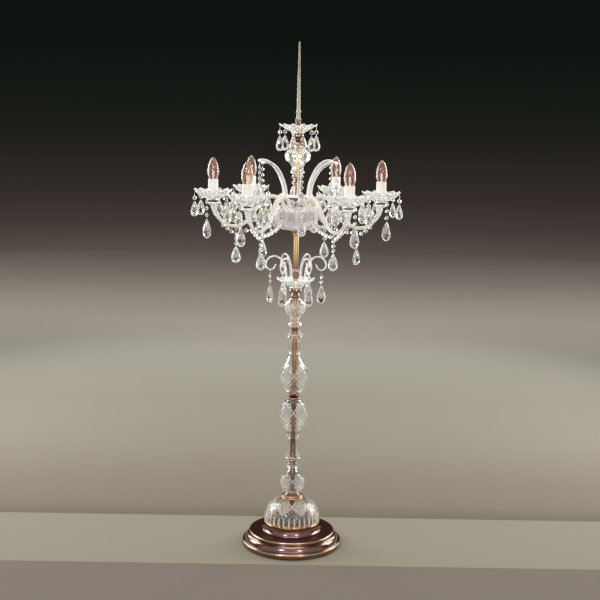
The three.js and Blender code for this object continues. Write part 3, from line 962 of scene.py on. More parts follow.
SHORT = Strand(1, 7, 17, 18.5, 49, 13)
LONG = Strand(4, 6.3, 20.5, 5, 61, 15.5)
SCROLL = Strand(2, 5.6, 16, 13, 60, 14)
SWING = Strand(3, 6, 14.5, 2.5, 55, 15.5)
CANE = Strand(4, 5.8, 17.5, 8, 50, 13)
HUB = Strand(1, 6.6, 14, 3, 58, 15)


# The sub-assemblies


def dress(node: str, material: bpy.types.Material) -> None:
    """Gives a CAD node another material."""
    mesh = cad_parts[node].data
    mesh.materials.clear()
    mesh.materials.append(material)


@dataclass
class Foot:
    """The stepped metal foot and the plinth in it."""

    steps: int = 144

    def build(self, finishes: Finishes) -> None:
        """Makes the shells and finishes what is under them."""
        ovolo = [
            (129.5 + 22.5 * math.cos(math.radians(a)), 18 + 22.5 * math.sin(math.radians(a)))
            for a in range(0, 76, 5)
        ]
        shell = turned([
            Run(((150, 3.3), (157.5, 3.3))),
            Run(((157.5, 3.3), (159.8, 4.2), (160.5, 6.6), (160.5, 13.4)), 4, gilt=0.1),
            Run(((160.5, 13.4), (160.3, 15.4), (158.9, 17.2), (156, 17.9)), 4, gilt=0.9),
            Run(((156, 17.9), (154.6, 17.3), (153.4, 16.6), (152.2, 17.4)), 3),
            Run(tuple(ovolo), 1, gilt=0.1),
            Run((ovolo[-1], (134.2, 40.6), (134, 42.2)), 2),
            Run(((134, 42.2), (136.4, 43), (137.8, 44.6), (137.8, 46.8), (136.4, 48.4), (134.4, 49)), 4, gilt=0.9),
            Run(((134.4, 49), (132, 49.2), (128, 49)), 3, gilt=-1),
            Run(((128, 49), (12, 49)), gilt=-1),
            Run(((12, 49), (12, 45), (126, 45), (140, 24), (150, 12), (150, 3.3))),
        ], self.steps)
        piece("foot_shell", shell, finishes.copper, replaced=["base_shell"])
        plinth = turned([
            Run(((88, 49.3), (96, 49.3))),
            Run(((96, 49.3), (97.3, 50.6), (97.1, 52.6), (95.6, 53.8)), 4, gilt=0.3),
            Run(((95.6, 53.8), (92.6, 57.4), (90.4, 62.6), (89.4, 69), (89.6, 75.6)), 5, gilt=0.2),
            Run(((89.6, 75.6), (90.4, 77.2), (89.8, 79), (84, 79)), 2, gilt=0.85),
            Run(((84, 79), (84, 84), (80, 84)), gilt=0.85),
            Run(((80, 84), (5.4, 84), (5.4, 80), (79, 80), (88, 49.3))),
        ], self.steps)
        piece("foot_plinth", plinth, finishes.copper, replaced=["base_plinth"])
        for node, material in (
            ("felt_pad", finishes.felt),
            ("base_ballast", finishes.iron),
            ("stem_rod", finishes.steel),
        ):
            dress(node, material)


@dataclass
class MetalStem:
    """The tubes over the rod and the turned collars between the glass pieces."""

    steps: int = 72
    rod_bore: float = 5.4
    tube_bore: float = 9.3
    bead_rows: tuple[Point, ...] = ((34.3, 162), (29.6, 168.4))
    beads_round: int = 30

    def build(self, finishes: Finishes) -> None:
        """Makes the tubes and the collars."""
        bore = self.rod_bore
        tubes = (
            ("stem_inner_tube", "stem_tube", 84.3, 867.7, 8.6, finishes.tube),
            ("pole_outer_tube", "pole_tube", 911.3, 1014.7, 7.8, finishes.brass),
            ("baluster_liner", None, 1207.2, 1298.7, 7.4, finishes.brass),
        )
        for name, node, low, high, radius, finish in tubes:
            shell = turned([Run(((bore, low), (radius, low), (radius, high), (bore, high)))], self.steps)
            piece(name, shell, finish, replaced=[node] if node else ())
        for name, (node, runs) in self.outlines().items():
            shell = turned(runs, self.steps)
            if node == "dome_cap":
                self.bead_ring(shell)
            piece(name, shell, finishes.copper, replaced=[node])

    def outlines(self) -> dict[str, tuple[str, list[Run]]]:
        """The outline of each turned piece, with the CAD node that it stands for."""
        bore = self.rod_bore
        return {
            "pole_vase_sleeve": ("pole_sleeve", [
                Run(((bore, 868), (8.6, 868))),
                Run(((8.6, 868), (9.2, 871), (8.2, 875)), 3, gilt=0.7),
                Run(((8.2, 875), (10.1, 883), (10.8, 890), (9.9, 900), (8.1, 907), (7.9, 911)), 4, gilt=0.4),
                Run(((8, 911), (bore, 911))),
            ]),
            "collar_low_turned": ("collar_low", self.collar(267.3, 285.7, 12, 15, 11.5, 18, 15)),
            "collar_mid_turned": ("collar_mid", self.collar(484, 513, 17, 22.5, 12.4, 21.6, 19)),
            "collar_high_turned": ("collar_high", self.collar(702.5, 723.7, 10, 17, 11.5, 15, 11)),
            "dish_collar_turned": ("dish_collar", self.collar(815.3, 845, 12, 14.6, 10.4, 20.5, 19, 0.35)),
            "top_collar_turned": ("top_collar", [
                Run(((bore, 1135.6), (6.8, 1135.6), (6.8, 1165))),
                Run(((6.8, 1165), (9.6, 1168.4), (12.6, 1171.4), (13.3, 1174.8), (12.6, 1178.4)), 3, gilt=0.65),
                Run(((12.6, 1178.4), (9, 1182), (7.6, 1186), (8.4, 1191)), 4, gilt=0.4),
                Run(((8.4, 1191), (12, 1195.4), (16, 1198.4), (16.6, 1201), (15, 1204.6), (11, 1206.7)), 3,
                    gilt=0.65),
                Run(((11, 1206.7), (bore, 1206.7))),
            ]),
            "hub_collar_turned": ("hub_collar", [
                Run(((bore, 1015), (10, 1015))),
                Run(((10, 1015), (10.6, 1018), (9.6, 1021)), 3, gilt=0.9),
                Run(((9.6, 1021), (12, 1024), (16.2, 1026.6), (16.8, 1029.6), (15, 1033.7)), 4, gilt=0.1),
                Run(((15, 1033.7), (bore, 1033.7))),
            ]),
            "top_cup_turned": ("top_cup", self.collar(1295, 1333, 14, 17, 8.7, 18.4, 19, 0.6)),
            "dome_cap_turned": ("dome_cap", [
                Run(((self.tube_bore, 153.3), (24, 153.3))),
                Run(((24, 153.3), (28, 155.2), (32.4, 156.6)), 3),
                Run(((32.4, 156.6), (35, 157.6), (35.5, 159.2), (34.4, 160.6)), 4, gilt=0.95),
                Run(((34.4, 160.6), (33, 161.4), (33, 162.6), (33.8, 163.2)), 3),
                Run(((33.8, 163.2), (34.6, 164.4), (33.8, 166), (32, 166.6)), 4, gilt=0.95),
                Run(((32, 166.6), (29.6, 168), (27, 169.6), (24.4, 171.2)), 3),
                Run(((24.4, 171.2), (22.4, 172), (20.4, 174.7)), 2, gilt=0.5),
                Run(((20.4, 174.7), (self.tube_bore, 174.7))),
            ]),
        }

    def bead_ring(self, shell: bmesh.types.BMesh) -> None:
        """Adds the rows of small beads round the dome's cap."""
        gilt = shell.verts.layers.float["gilt"]
        ball = bmesh.new()
        bmesh.ops.create_icosphere(ball, subdivisions=1, radius=1.5 * MM)
        before = len(shell.verts)
        for radius, height in self.bead_rows:
            for k in range(self.beads_round):
                stamp(shell, ball, about_stem(360 * k / self.beads_round, radius, height))
        ball.free()
        shell.verts.ensure_lookup_table()
        for vert in shell.verts[before:]:
            vert[gilt] = 0.95

    def collar(self, low: float, high: float, foot: float, lower: float, waist: float, upper: float,
               head: float, gilt: float = 0.55) -> list[Run]:
        """A turned collar: a foot, a torus, a waist and a second torus.

        Args:
            low: height of its underside.
            high: height of its top.
            foot: radius where it stands.
            lower: radius of the lower torus.
            waist: radius between the two.
            upper: radius of the upper torus.
            head: radius of its top.
            gilt: how golden the two tori are.

        Returns:
            The outline's runs.
        """
        bore = self.rod_bore if low > 1200 else self.tube_bore
        at = [low + share * (high - low) for share in (0.1, 0.18, 0.26, 0.44, 0.54, 0.7, 0.78, 0.88)]
        return [
            Run(((bore, low), (foot, low))),
            Run(((foot, low), (lower - 0.7, at[0]), (lower, at[1]), (lower - 0.8, at[2])), 4, gilt=gilt),
            Run(((lower - 0.8, at[2]), (waist + 0.8, at[3]), (waist, at[4]), (upper - 1.2, at[5])), 4),
            Run(((upper - 1.2, at[5]), (upper, at[6]), (upper - 0.6, at[7]), (head, high)), 4, gilt=gilt),
            Run(((head, high), (bore, high))),
        ]


@dataclass
class GlassStack:
    """The dome, the ball, the vases and the top baluster, blown and then cut, with painted highlight on their cuts,
    rings and lips.
    """

    steps: int = 256
    pitch: float = 1.1

    def build(self, finishes: Finishes) -> None:
        """Makes the glass pieces of the stem."""
        for name, node, shell in (
            ("dome_cut", "glass_dome", self.dome()),
            ("ball_cut", "glass_ball", self.ball()),
            ("lower_vase_cut", "lower_vase", self.lower_vase()),
            ("upper_vase_cut", "upper_vase", self.upper_vase()),
            ("neck_vase_cut", "neck_vase", self.neck_vase()),
            ("top_baluster_cut", "top_baluster", self.baluster()),
        ):
            piece(name, shell, finishes.cut, replaced=[node], crease=16)

    def cut_run(self, *points: Point) -> Run:
        """A stretch of an outline that is cut."""
        return Run(points, cut=1, pitch=self.pitch)

    def dome(self) -> bmesh.types.BMesh:
        """The dome on the plinth: arches over a row of upright ovals, and a scalloped rim."""
        shell = turned([
            Run(((85, 79.6), (89.3, 79.6))),
            self.cut_run((89.3, 79.6), (89.3, 94), (86.5, 108), (80, 124), (68, 138), (50, 148), (34, 152), (24, 153)),
            Run(((24, 153), (9.3, 153), (9.3, 148.5))),
            Run(((9.3, 148.5), (32, 146), (54, 140.5), (70, 127), (80, 110), (84.4, 94), (85, 79.6)), 3),
        ], 2 * self.steps)
        arches = Feathering(count=8, low=120, crown=152, top=184, radius=80)
        ovals = 32
        spring = 68.0

        def depth(angle: float, height: float, radius: float) -> float:
            walked = spring + 95 * math.atan2(height - spring, radius)
            across = (((angle - arches.start) * ovals / (2 * math.pi)) % 1 - 0.5) * 2 * math.pi * 89 / ovals
            return max(arches.depth(angle, walked), olive(across, walked - 96, 3, 19, 1.3))

        carve(shell, depth)
        scallops = 16
        for vert in shell.verts:
            if vert.co.z < 80.5 * MM:
                angle = math.atan2(vert.co.y, vert.co.x)
                vert.co.z += 1.9 * MM * (1 - math.cos(scallops * angle))
        return shell

    def ball(self) -> bmesh.types.BMesh:
        """The ball with its drawn neck."""
        shell = turned([
            Run(((9.3, 175), (20, 175))),
            self.cut_run((20, 175), (27, 180), (35.5, 190), (39.5, 206), (38.3, 219), (33.5, 227), (23.5, 234.5),
                         (18.3, 247), (15.8, 255)),
            # Painted highlight on the neck ring.
            Run(((15.8, 255), (18.6, 257.6), (21.5, 262), (20, 267)), 4, painted_light=0.4),
            Run(((20, 267), (9.3, 267))),
            Run(((9.3, 267), (10, 252), (14, 243), (23, 231), (31, 220), (34, 202), (31, 188), (22, 178.5)), 3),
            Run(((22, 178.5), (9.3, 178.5), (9.3, 175))),
        ], self.steps)
        belly = Feathering(count=5, low=196, crown=220, top=229, radius=39, hatch=10)
        carve(shell, lambda angle, height, radius: max(
            belly.depth(angle, height),
            0.35 * flutes(angle, 12) * clamp((height - 238) / 6),
        ))
        return shell

    def lower_vase(self) -> bmesh.types.BMesh:
        """The lower vase: a flared foot, a ring and a cut belly."""
        shell = turned([
            Run(((9.3, 286), (16, 286))),
            self.cut_run((16, 286), (24.5, 289.5), (27, 295), (24, 306), (18.8, 326), (16, 344), (15.6, 356)),
            # Painted highlight on the ring.
            Run(((15.6, 356), (17.8, 358.5), (19.4, 363.5), (17.9, 368.5)), 5, painted_light=0.2),
            self.cut_run((17.9, 368.5), (26, 385), (37, 402), (43.5, 420), (44.5, 438), (41, 457), (31, 475),
                         (24, 483.7)),
            Run(((24, 483.7), (9.3, 483.7))),
            Run(((9.3, 483.7), (24, 477), (35, 461), (40, 437), (37, 414), (26, 392), (14, 370)), 4),
            Run(((14, 370), (12, 356), (12.4, 340), (15, 322), (20, 304), (20, 293), (9.3, 289), (9.3, 286)), 2),
        ], self.steps)
        belly = Feathering(count=5, low=414, crown=450, top=480, radius=44)

        def depth(angle: float, height: float, radius: float) -> float:
            if height < 372:
                return 0.35 * flutes(angle, 12) * clamp((330 - height) / 20)
            hanging = 0.4 * flutes(angle, 18) * clamp((height - 374) / 8) * clamp((400 - height) / 6)
            return max(hanging, belly.depth(angle, height))

        carve(shell, depth)
        return shell

    def upper_vase(self) -> bmesh.types.BMesh:
        """The upper vase: a cut belly under a long waisted neck."""
        shell = turned([
            Run(((9.3, 513.3), (26.4, 513.3))),
            self.cut_run((26.4, 513.3), (37.3, 531), (43.5, 549), (44.3, 563), (41, 581), (31, 601), (21.5, 620),
                         (17.8, 634)),
            # Painted highlight on the ring.
            Run(((17.8, 634), (19.2, 636.6), (19.9, 640), (18, 644.5)), 4, painted_light=0.1),
            self.cut_run((18, 644.5), (17.4, 656), (18.6, 672)),
            # Painted highlight on the flare, and a full one on the lip.
            Run(((18.6, 672), (21.6, 685), (26.4, 694.6), (26.6, 697)), 5, painted_light=0.15),
            Run(((26.6, 697), (25, 699), (20, 699)), painted_light=1),
            Run(((20, 699), (16.5, 683), (13.6, 664), (13.4, 644), (15, 626), (25, 604), (36, 581), (39.8, 560)), 3),
            Run(((39.8, 560), (38.6, 546), (32, 531), (22, 518.6), (9.3, 517.6), (9.3, 513.3)), 2),
        ], self.steps)
        belly = Feathering(count=5, low=534, crown=570, top=606, radius=44)
        carve(shell, lambda angle, height, radius: belly.depth(angle, height))
        return shell

    def neck_vase(self) -> bmesh.types.BMesh:
        """The small vase under the lower dish."""
        shell = turned([
            Run(((9.3, 724), (16, 724))),
            # Painted highlight on the foot ring.
            Run(((16, 724), (20.5, 726.6), (21, 730.4), (17.4, 735), (15, 742), (15.2, 748)), 5, painted_light=0.2),
            self.cut_run((15.2, 748), (19.6, 755), (28, 766), (33, 777), (33.6, 788), (28.6, 801), (21, 810), (16, 815)),
            Run(((16, 815), (9.3, 815))),
            Run(((9.3, 815), (20, 804), (28, 792), (28.4, 781), (20, 765), (12, 752), (11.6, 738), (9.3, 727)), 3),
            Run(((9.3, 727), (9.3, 724))),
        ], self.steps)
        belly = Feathering(count=5, low=764, crown=788, top=808, radius=33, hatch=10)
        carve(shell, lambda angle, height, radius: max(
            belly.depth(angle, height),
            0.35 * flutes(angle, 12) * clamp((762 - height) / 4),
        ))
        return shell

    def baluster(self) -> bmesh.types.BMesh:
        """The baluster between the canes and the top dish."""
        shell = turned([
            Run(((7.8, 1207), (17, 1207))),
            Run(((17, 1207), (21.4, 1208.8), (22.5, 1211.8), (20, 1215.6), (18, 1219)), 4),
            self.cut_run((18, 1219), (19, 1229), (25, 1240.5), (36, 1249), (40, 1260), (39, 1271), (30, 1281),
                         (19, 1290), (17, 1298.7)),
            Run(((17, 1298.7), (7.8, 1298.7), (7.8, 1207))),
        ], self.steps)
        belly = Feathering(count=5, low=1240, crown=1268, top=1290, radius=39, hatch=10)
        carve(shell, lambda angle, height, radius: max(
            belly.depth(angle, height),
            0.35 * flutes(angle, 12) * clamp((1238 - height) / 6),
        ))
        return shell


def olive(across: float, along: float, half_width: float, half_length: float, depth: float) -> float:
    """An oval cut's depth at a distance across and along it, all in one unit."""
    return max(0.0, 1 - (across / half_width) ** 2 - (along / half_length) ** 2) ** 0.7 * depth


@dataclass
class PetalDish:
    """A shallow glass dish with a petalled rim and pointed, upturned tips."""

    height: float = 34.6
    hole: float = 6.2
    per_petal: int = 18
    pitch: float = 1.7
    rim_painted_light: float = 0.4

    def build(self) -> bmesh.types.BMesh:
        """Makes the dish, standing on z = 0."""
        top = self.height - 2
        shell = turned([
            Run(((self.hole, 0), (19.4, 0))),
            Run(((19.4, 0), (20, 1.2), (20, 3)), 2),
            Run(((20, 3), (30, 7.4), (44, 14.6), (54, 23), (60, top - 3)), cut=1, pitch=self.pitch),
            Run(((60, top - 3), (60.9, top - 1), (59.6, top + 0.2)), 2),
            Run(((59.6, top + 0.2), (55, top - 3.4), (48, 25), (39, 18.6), (28, 13), (18, 9)), cut=-1,
                pitch=self.pitch),
            Run(((18, 9), (self.hole, 8.6), (self.hole, 0))),
        ], PETALS * self.per_petal)
        carve(shell, self.cuts, 2.2)
        cut = shell.verts.layers.float["cut"]
        painted_light = shell.verts.layers.float["painted_light"]
        # Painted highlight: the cuts are whitened, and the dish more so towards its rim.
        for vert in shell.verts:
            self.shape(vert, vert[cut])
            out = clamp((math.hypot(vert.co.x, vert.co.y) / MM - 30) / 24)
            vert[painted_light] = clamp(vert[painted_light] * 0.8 + self.rim_painted_light * out)
        return shell

    def across(self, angle: float) -> float:
        """Where an angle lies on its petal: 0 in the middle and 1 or -1 at its sides."""
        return ((math.degrees(angle) - 15) / 30 + 0.5) % 1 * 2 - 1

    def cuts(self, angle: float, height: float, radius: float) -> float:
        """The depth of the cuts under the dish, in mm."""
        half = radius * math.pi / PETALS
        side = abs(self.across(angle)) * half
        edge = half - side
        fan = valley(to_line(side + (radius - 22) * 0.22, 8), 2.4, 2.0)
        rings = valley(to_line(radius, 19), 2.0, 1.2)
        seam = valley(edge, 2.6, 2.6)
        calm = clamp((radius - 20) / 6) * clamp((60 - radius) / 5)
        return max(seam * clamp((radius - 20) / 4), max(fan, rings) * calm)

    def shape(self, vert: bmesh.types.BMVert, side: float) -> None:
        """Moves one point of the plain dish onto its petal.

        Args:
            vert: the point.
            side: 1 under the dish, -1 in it and 0 on its edges.
        """
        radius = math.hypot(vert.co.x, vert.co.y) / MM
        across = abs(self.across(math.atan2(vert.co.y, vert.co.x)))
        weight = clamp((radius - 22) / (60 - 22)) ** 1.6
        notch = across ** 2.4
        point = max(0.0, 1 - across * 3.2)
        reach = radius + weight * (1.3 * point - 8.0 * notch)
        lift = weight * (1.8 * point + 0.8 * (1 - notch) - 4.6 * notch)
        crest = valley(across, 0.6, 1.8) * weight * min(side, 0.0)
        scale = (reach - 0.4 * crest) / radius
        vert.co.x *= scale
        vert.co.y *= scale
        vert.co.z += (lift + 0.8 * crest) * MM


@dataclass
class Lights:
    """The six arms' ends: dish, crystals, ring, sleeve and bulb."""

    first_pendant: tuple[int, ...] = (45, 45, 15, 15, 15, 45)
    long_pendant: tuple[int, ...] = (4, 0, 2, 4, 4, 4)
    rim_radius: float = 58.4
    rim_height: float = 1154.5
    dish_bottom: float = 1122.0
    sleeve_radius: float = 15.6
    sleeve_low: float = 1130.5
    sleeve_high: float = 1186.5

    def build(self, finishes: Finishes) -> None:
        """Makes the six lights."""
        glass = PetalDish().build()
        bmesh.ops.translate(glass, vec=(0, 0, self.dish_bottom * MM), verts=glass.verts)
        for k in LIGHTS:
            at = centre_of(f"bulb_{k}")
            place = Matrix.Translation((at.x, at.y, 0))
            dish = glass.copy()
            bmesh.ops.transform(dish, matrix=place, verts=dish.verts)
            piece(f"light_dish_{k}", dish, finishes.petal, replaced=[f"dish_{k}"], crease=16)
            self.pendants(k, place, finishes)
            self.candle(k, place, finishes)
            self.bulb(k, place, finishes)
        glass.free()

    def pendants(self, k: int, place: Matrix, finishes: Finishes) -> None:
        """The crystals round the rim of one light's dish."""
        shop = StrandShop(Crystals())
        for i in range(6):
            strand = LONG if i == self.long_pendant[k - 1] else SHORT
            azimuth = self.first_pendant[k - 1] + 60 * i
            shop.add(strand, place @ hung(azimuth, self.rim_radius, self.rim_height))
        shop.close(f"light_{k}", finishes)

    def candle(self, k: int, place: Matrix, finishes: Finishes) -> None:
        """The metal ring under the dish, the ivory sleeve and the lampholder in it."""
        ring = turned([
            Run(((0, 1116.4), (11.4, 1116.4)), gilt=-1),
            Run(((11.4, 1116.4), (12.4, 1117.6), (12, 1119), (11.4, 1120)), 3, gilt=-1),
            Run(((11.4, 1120), (11, 1121.7), (5.6, 1121.7), (5.6, 1130.7), (0, 1130.7))),
        ], 48, closed=False)
        bmesh.ops.transform(ring, matrix=place, verts=ring.verts)
        piece(f"light_ring_{k}", ring, finishes.copper)
        low, high, outer = self.sleeve_low, self.sleeve_high, self.sleeve_radius
        sleeve = turned([
            Run(((outer - 3, low), (outer - 0.4, low))),
            Run(((outer - 0.4, low), (outer, low + 0.6), (outer, high - 1.4), (outer - 0.8, high))),
            Run(((outer - 0.8, high), (outer - 1.8, high - 0.5), (outer - 2, high - 2)), 2),
            Run(((outer - 2, high - 2), (outer - 2, low + 2), (outer - 3, low + 2), (outer - 3, low))),
        ], 64)
        bmesh.ops.transform(sleeve, matrix=place, verts=sleeve.verts)
        piece(f"light_sleeve_{k}", sleeve, finishes.ivory, replaced=[f"candle_{k}"])
        holder = turned([
            Run(((0, 1132), (12.8, 1132), (12.8, 1172), (11.6, 1174), (8.2, 1174), (8.2, 1150), (0, 1150))),
        ], 32, closed=False)
        bmesh.ops.transform(holder, matrix=place, verts=holder.verts)
        piece(f"light_holder_{k}", holder, finishes.press)

    def bulb(self, k: int, place: Matrix, finishes: Finishes) -> None:
        """The clear candle bulb: envelope, glass stem, filament and screw cap."""
        body = f"bulb_{k}"
        outer = ((7, 1176), (8.6, 1179.4), (13.2, 1188), (16.6, 1198), (17.5, 1207), (17.1, 1218), (15, 1230),
                 (10.6, 1242.4), (4.8, 1251.4), (0, 1254.2))
        inner = tuple((max(r - 0.9, 0), z - 0.3 * (r < 9)) for r, z in reversed(outer))
        # The whole envelope carries painted light: with the lamp glass it is a painted brown reflection of the
        # surroundings.
        glass = turned([
            Run(outer, 5, painted_light=1),
            Run(((0, 1253.1), *inner[1:]), 5, painted_light=1),
            Run((inner[-1], (6.1, 1172), (6.9, 1172), (7, 1176)), painted_light=1),
        ], 48, closed=False)
        bmesh.ops.remove_doubles(glass, verts=glass.verts, dist=1e-6)
        bmesh.ops.transform(glass, matrix=place, verts=glass.verts)
        piece(f"bulb_glass_{k}", glass, finishes.lamp, body, [body])
        stem = turned([
            Run(((0, 1171), (5.6, 1171))),
            Run(((5.6, 1171), (4.6, 1177), (2.8, 1186), (2.4, 1200), (3, 1210), (0, 1213.4)), 4),
        ], 20, closed=False)
        bmesh.ops.transform(stem, matrix=place, verts=stem.verts)
        piece(f"bulb_stem_{k}", stem, finishes.press, body)
        wires = bmesh.new()
        coil = [Vector((x * MM, 0, z * MM)) for x, z in (
            (-1.6, 1210), (-4.6, 1216), (-4.8, 1219), (-2.4, 1225), (0, 1229), (2.4, 1225), (4.8, 1219),
            (4.6, 1216), (1.6, 1210))]
        wire = swept(spline(coil, 5), 0.35 * MM, 5)
        stamp(wires, wire, place @ Matrix.Rotation(math.radians(35 * k), 4, "Z"))
        wire.free()
        piece(f"bulb_filament_{k}", wires, finishes.nickel, body)
        cap = turned([
            Run(((0, 1153.2), (3.4, 1153.2), (4, 1155.6), (6.4, 1158))),
            *[Run(((6.4, z), (7, z + 0.9), (6.4, z + 1.8)), 2) for z in (1158, 1159.8, 1161.6, 1163.4, 1165.2)],
            Run(((6.4, 1167), (6.9, 1168), (6.9, 1171.6), (0, 1171.6))),
        ], 32, closed=False)
        bmesh.ops.transform(cap, matrix=place, verts=cap.verts)
        piece(f"bulb_cap_{k}", cap, finishes.nickel, body)


@dataclass
class Arms:
    """The six rope-twisted glass arms, their amber cores, eyes, garlands and swinging drops."""

    rope_radius: float = 5.7
    start_radius: float = 7.2
    bell_radius: float = 8.4
    core_radius: float = 0.8
    core_share: float = 0.86
    strands: int = 6
    turns: float = 5.5
    eye_radius: float = 190.0
    eye_height: float = 1031.8
    route: tuple[Point, ...] = (
        (41, 1070), (41, 1104), (53, 1127), (78, 1136), (103, 1126), (130, 1093), (158, 1056), (190, 1041),
        (225, 1047), (249, 1073), (260, 1095), (263, 1109),
    )
    inner_garland: tuple[Point, ...] = ((77, 1062), (92, 1050), (112, 1041), (135, 1033), (156, 1027), (176, 1026))
    outer_garland: tuple[Point, ...] = ((189, 1019), (203, 1022), (220, 1033), (231, 1042))

    def build(self, finishes: Finishes) -> None:
        """Makes the arms with what hangs on them."""
        path = evenly([Vector((x * MM, 0, z * MM)) for x, z in self.route], 2.2 * MM)
        rope = swept(path, MM, 30, self.strands, 0.22, self.turns, self.thickness)
        core = swept(path[:round(len(path) * self.core_share)], self.core_radius * MM, 8)
        flange = turned([
            Run(((0, 1106), (9, 1106))),
            Run(((9, 1106), (14, 1108), (19, 1110.6), (20, 1112.4), (19, 1113.7)), 3),
            Run(((19, 1113.7), (0, 1113.7))),
        ], 36, closed=False)
        eye = Crystals(pin_wire=0.9, pin_ring=4.0).pin()
        for k in LIGHTS:
            azimuth = azimuth_of(f"bulb_{k}")
            glass = bmesh.new()
            stamp(glass, rope, about_stem(azimuth))
            stamp(glass, flange, about_stem(azimuth, 263))
            piece(f"arm_rope_{k}", glass, finishes.rope, replaced=[f"arm_{k}"])
            wire = bmesh.new()
            stamp(wire, core, about_stem(azimuth))
            piece(f"arm_core_{k}", wire, finishes.core)
            hook = bmesh.new()
            stamp(hook, eye, about_stem(azimuth, self.eye_radius, self.eye_height))
            piece(f"arm_eye_{k}", hook, finishes.nickel)
            self.garland(k, azimuth, finishes)
            self.swing(k, azimuth, finishes)
        for shape in (rope, core, flange, eye):
            shape.free()

    def thickness(self, share: float) -> float:
        """The rope's radius in mm along the arm: it thins towards the valley and ends in a bell."""
        start = (self.start_radius - self.rope_radius) * max(0.0, 1 - share / 0.55)
        return self.rope_radius + start + (self.bell_radius - self.rope_radius) * clamp((share - 0.84) / 0.09)

    def garland(self, k: int, azimuth: float, finishes: Finishes) -> None:
        """The beads that run from the hub to the arm's bend and on towards its light."""
        shop = StrandShop(Crystals(bead_thickness=0.85))
        for chain in (self.inner_garland, self.outer_garland):
            for place in evenly([Vector((x * MM, 0, z * MM)) for x, z in chain], 17 * MM)[1:]:
                lean = Matrix.Rotation(math.pi / 2, 4, "Z")
                shop.bead_at(6.6, about_stem(azimuth) @ Matrix.Translation(place) @ lean)
        shop.close(f"garland_{k}", finishes)

    def swing(self, k: int, azimuth: float, finishes: Finishes) -> None:
        """The stones that hang on the arm's eye and swing there."""
        shop = StrandShop(Crystals())
        ring_centre = self.eye_height - 4 + 1 + 0.9 + 0.4 - 3.2
        ring = Crystals(pin_wire=0.8, pin_ring=3.2).pin()
        quarter = Matrix.Rotation(math.pi / 2, 4, "Z")
        stamp(shop.pins, ring, about_stem(azimuth, self.eye_radius, ring_centre) @ quarter)
        ring.free()
        shop.add(SWING, hung(azimuth, self.eye_radius, ring_centre - 2.8))
        shop.close(f"swing_{k}", finishes, f"drop_{k}", [f"drop_{k}"])


@dataclass
class Hub:
    """The fluted bowl, the metal receiver with its cups, and the hub's own crystals."""

    cup_radius: float = 41.0
    curtain_count: int = 12
    curtain_rows: tuple[float, ...] = (1118.5, 1104, 1089.5)

    def build(self, finishes: Finishes) -> None:
        """Makes the hub."""
        bowl = turned([
            Run(((5.4, 1034), (44, 1034))),
            Run(((44, 1034), (52, 1036.4), (60, 1042), (65.6, 1051), (69, 1068), (70.4, 1086), (71.4, 1101)), cut=1,
                pitch=2),
            Run(((71.4, 1101), (71.4, 1103.4), (67, 1103.4))),
            Run(((67, 1103.4), (65.4, 1086), (63.4, 1066), (59.4, 1053), (50, 1043.6), (38, 1039)), 4),
            Run(((38, 1039), (5.4, 1039), (5.4, 1034))),
        ], 20 * PETALS)

        def depth(angle: float, height: float, radius: float) -> float:
            flute = 2.8 * flutes(angle, PETALS) * clamp((height - 1034) / 12)
            cross = valley(to_line(height, 12), 1.8, 1.2) * clamp((1096 - height) / 6)
            return max(flute, cross)

        # Painted highlight on the bowl's cuts, quite white from 3.4 mm deep.
        carve(bowl, depth, 3.4)
        for vert in bowl.verts:
            if vert.co.z > 1095 * MM:
                vert.co.z += 1.6 * MM * math.cos(PETALS * math.atan2(vert.co.y, vert.co.x))
        piece("hub_bowl_cut", bowl, finishes.petal, replaced=["hub_bowl"], crease=16)
        receiver = turned([
            Run(((5.4, 1039.3), (16, 1039.3), (16, 1057))),
            Run(((16, 1057), (20, 1059), (28, 1059.6), (54, 1060.4)), 2),
            Run(((54, 1060.4), (54.8, 1061.6), (54.8, 1064.4), (54, 1065.6)), 2, gilt=0.2),
            Run(((54, 1065.6), (18, 1066.6), (10.4, 1069), (8.5, 1074)), 3),
            Run(((8.5, 1074), (8.5, 1118), (12.6, 1123), (28, 1129)), 3),
            Run(((28, 1129), (30, 1130.4), (30, 1135), (5.4, 1135), (5.4, 1039.3))),
        ], 72)
        cup = turned([
            Run(((0, 1062.8), (9, 1062.8))),
            Run(((9, 1062.8), (11.4, 1065), (12, 1070), (11.2, 1078), (11.6, 1084), (12, 1087)), 3, gilt=0.15),
            Run(((12, 1087), (12.8, 1088.4), (12, 1090), (9.6, 1090)), 2, gilt=0.6),
            Run(((9.6, 1090), (9.6, 1069), (0, 1069))),
        ], 32, closed=False)
        for k in LIGHTS:
            stamp(receiver, cup, about_stem(azimuth_of(f"bulb_{k}"), self.cup_radius))
        cup.free()
        piece("hub_receiver", receiver, finishes.copper, replaced=["arm_receiver"])
        shop = StrandShop(Crystals())
        for i in range(3):
            shop.add(HUB, hung(282 + 120 * i, 75, 1092))
        for i in range(self.curtain_count):
            for height in self.curtain_rows:
                shop.bead_at(5.6, about_stem(360 * i / self.curtain_count, 25, height))
        shop.close("hub", finishes)


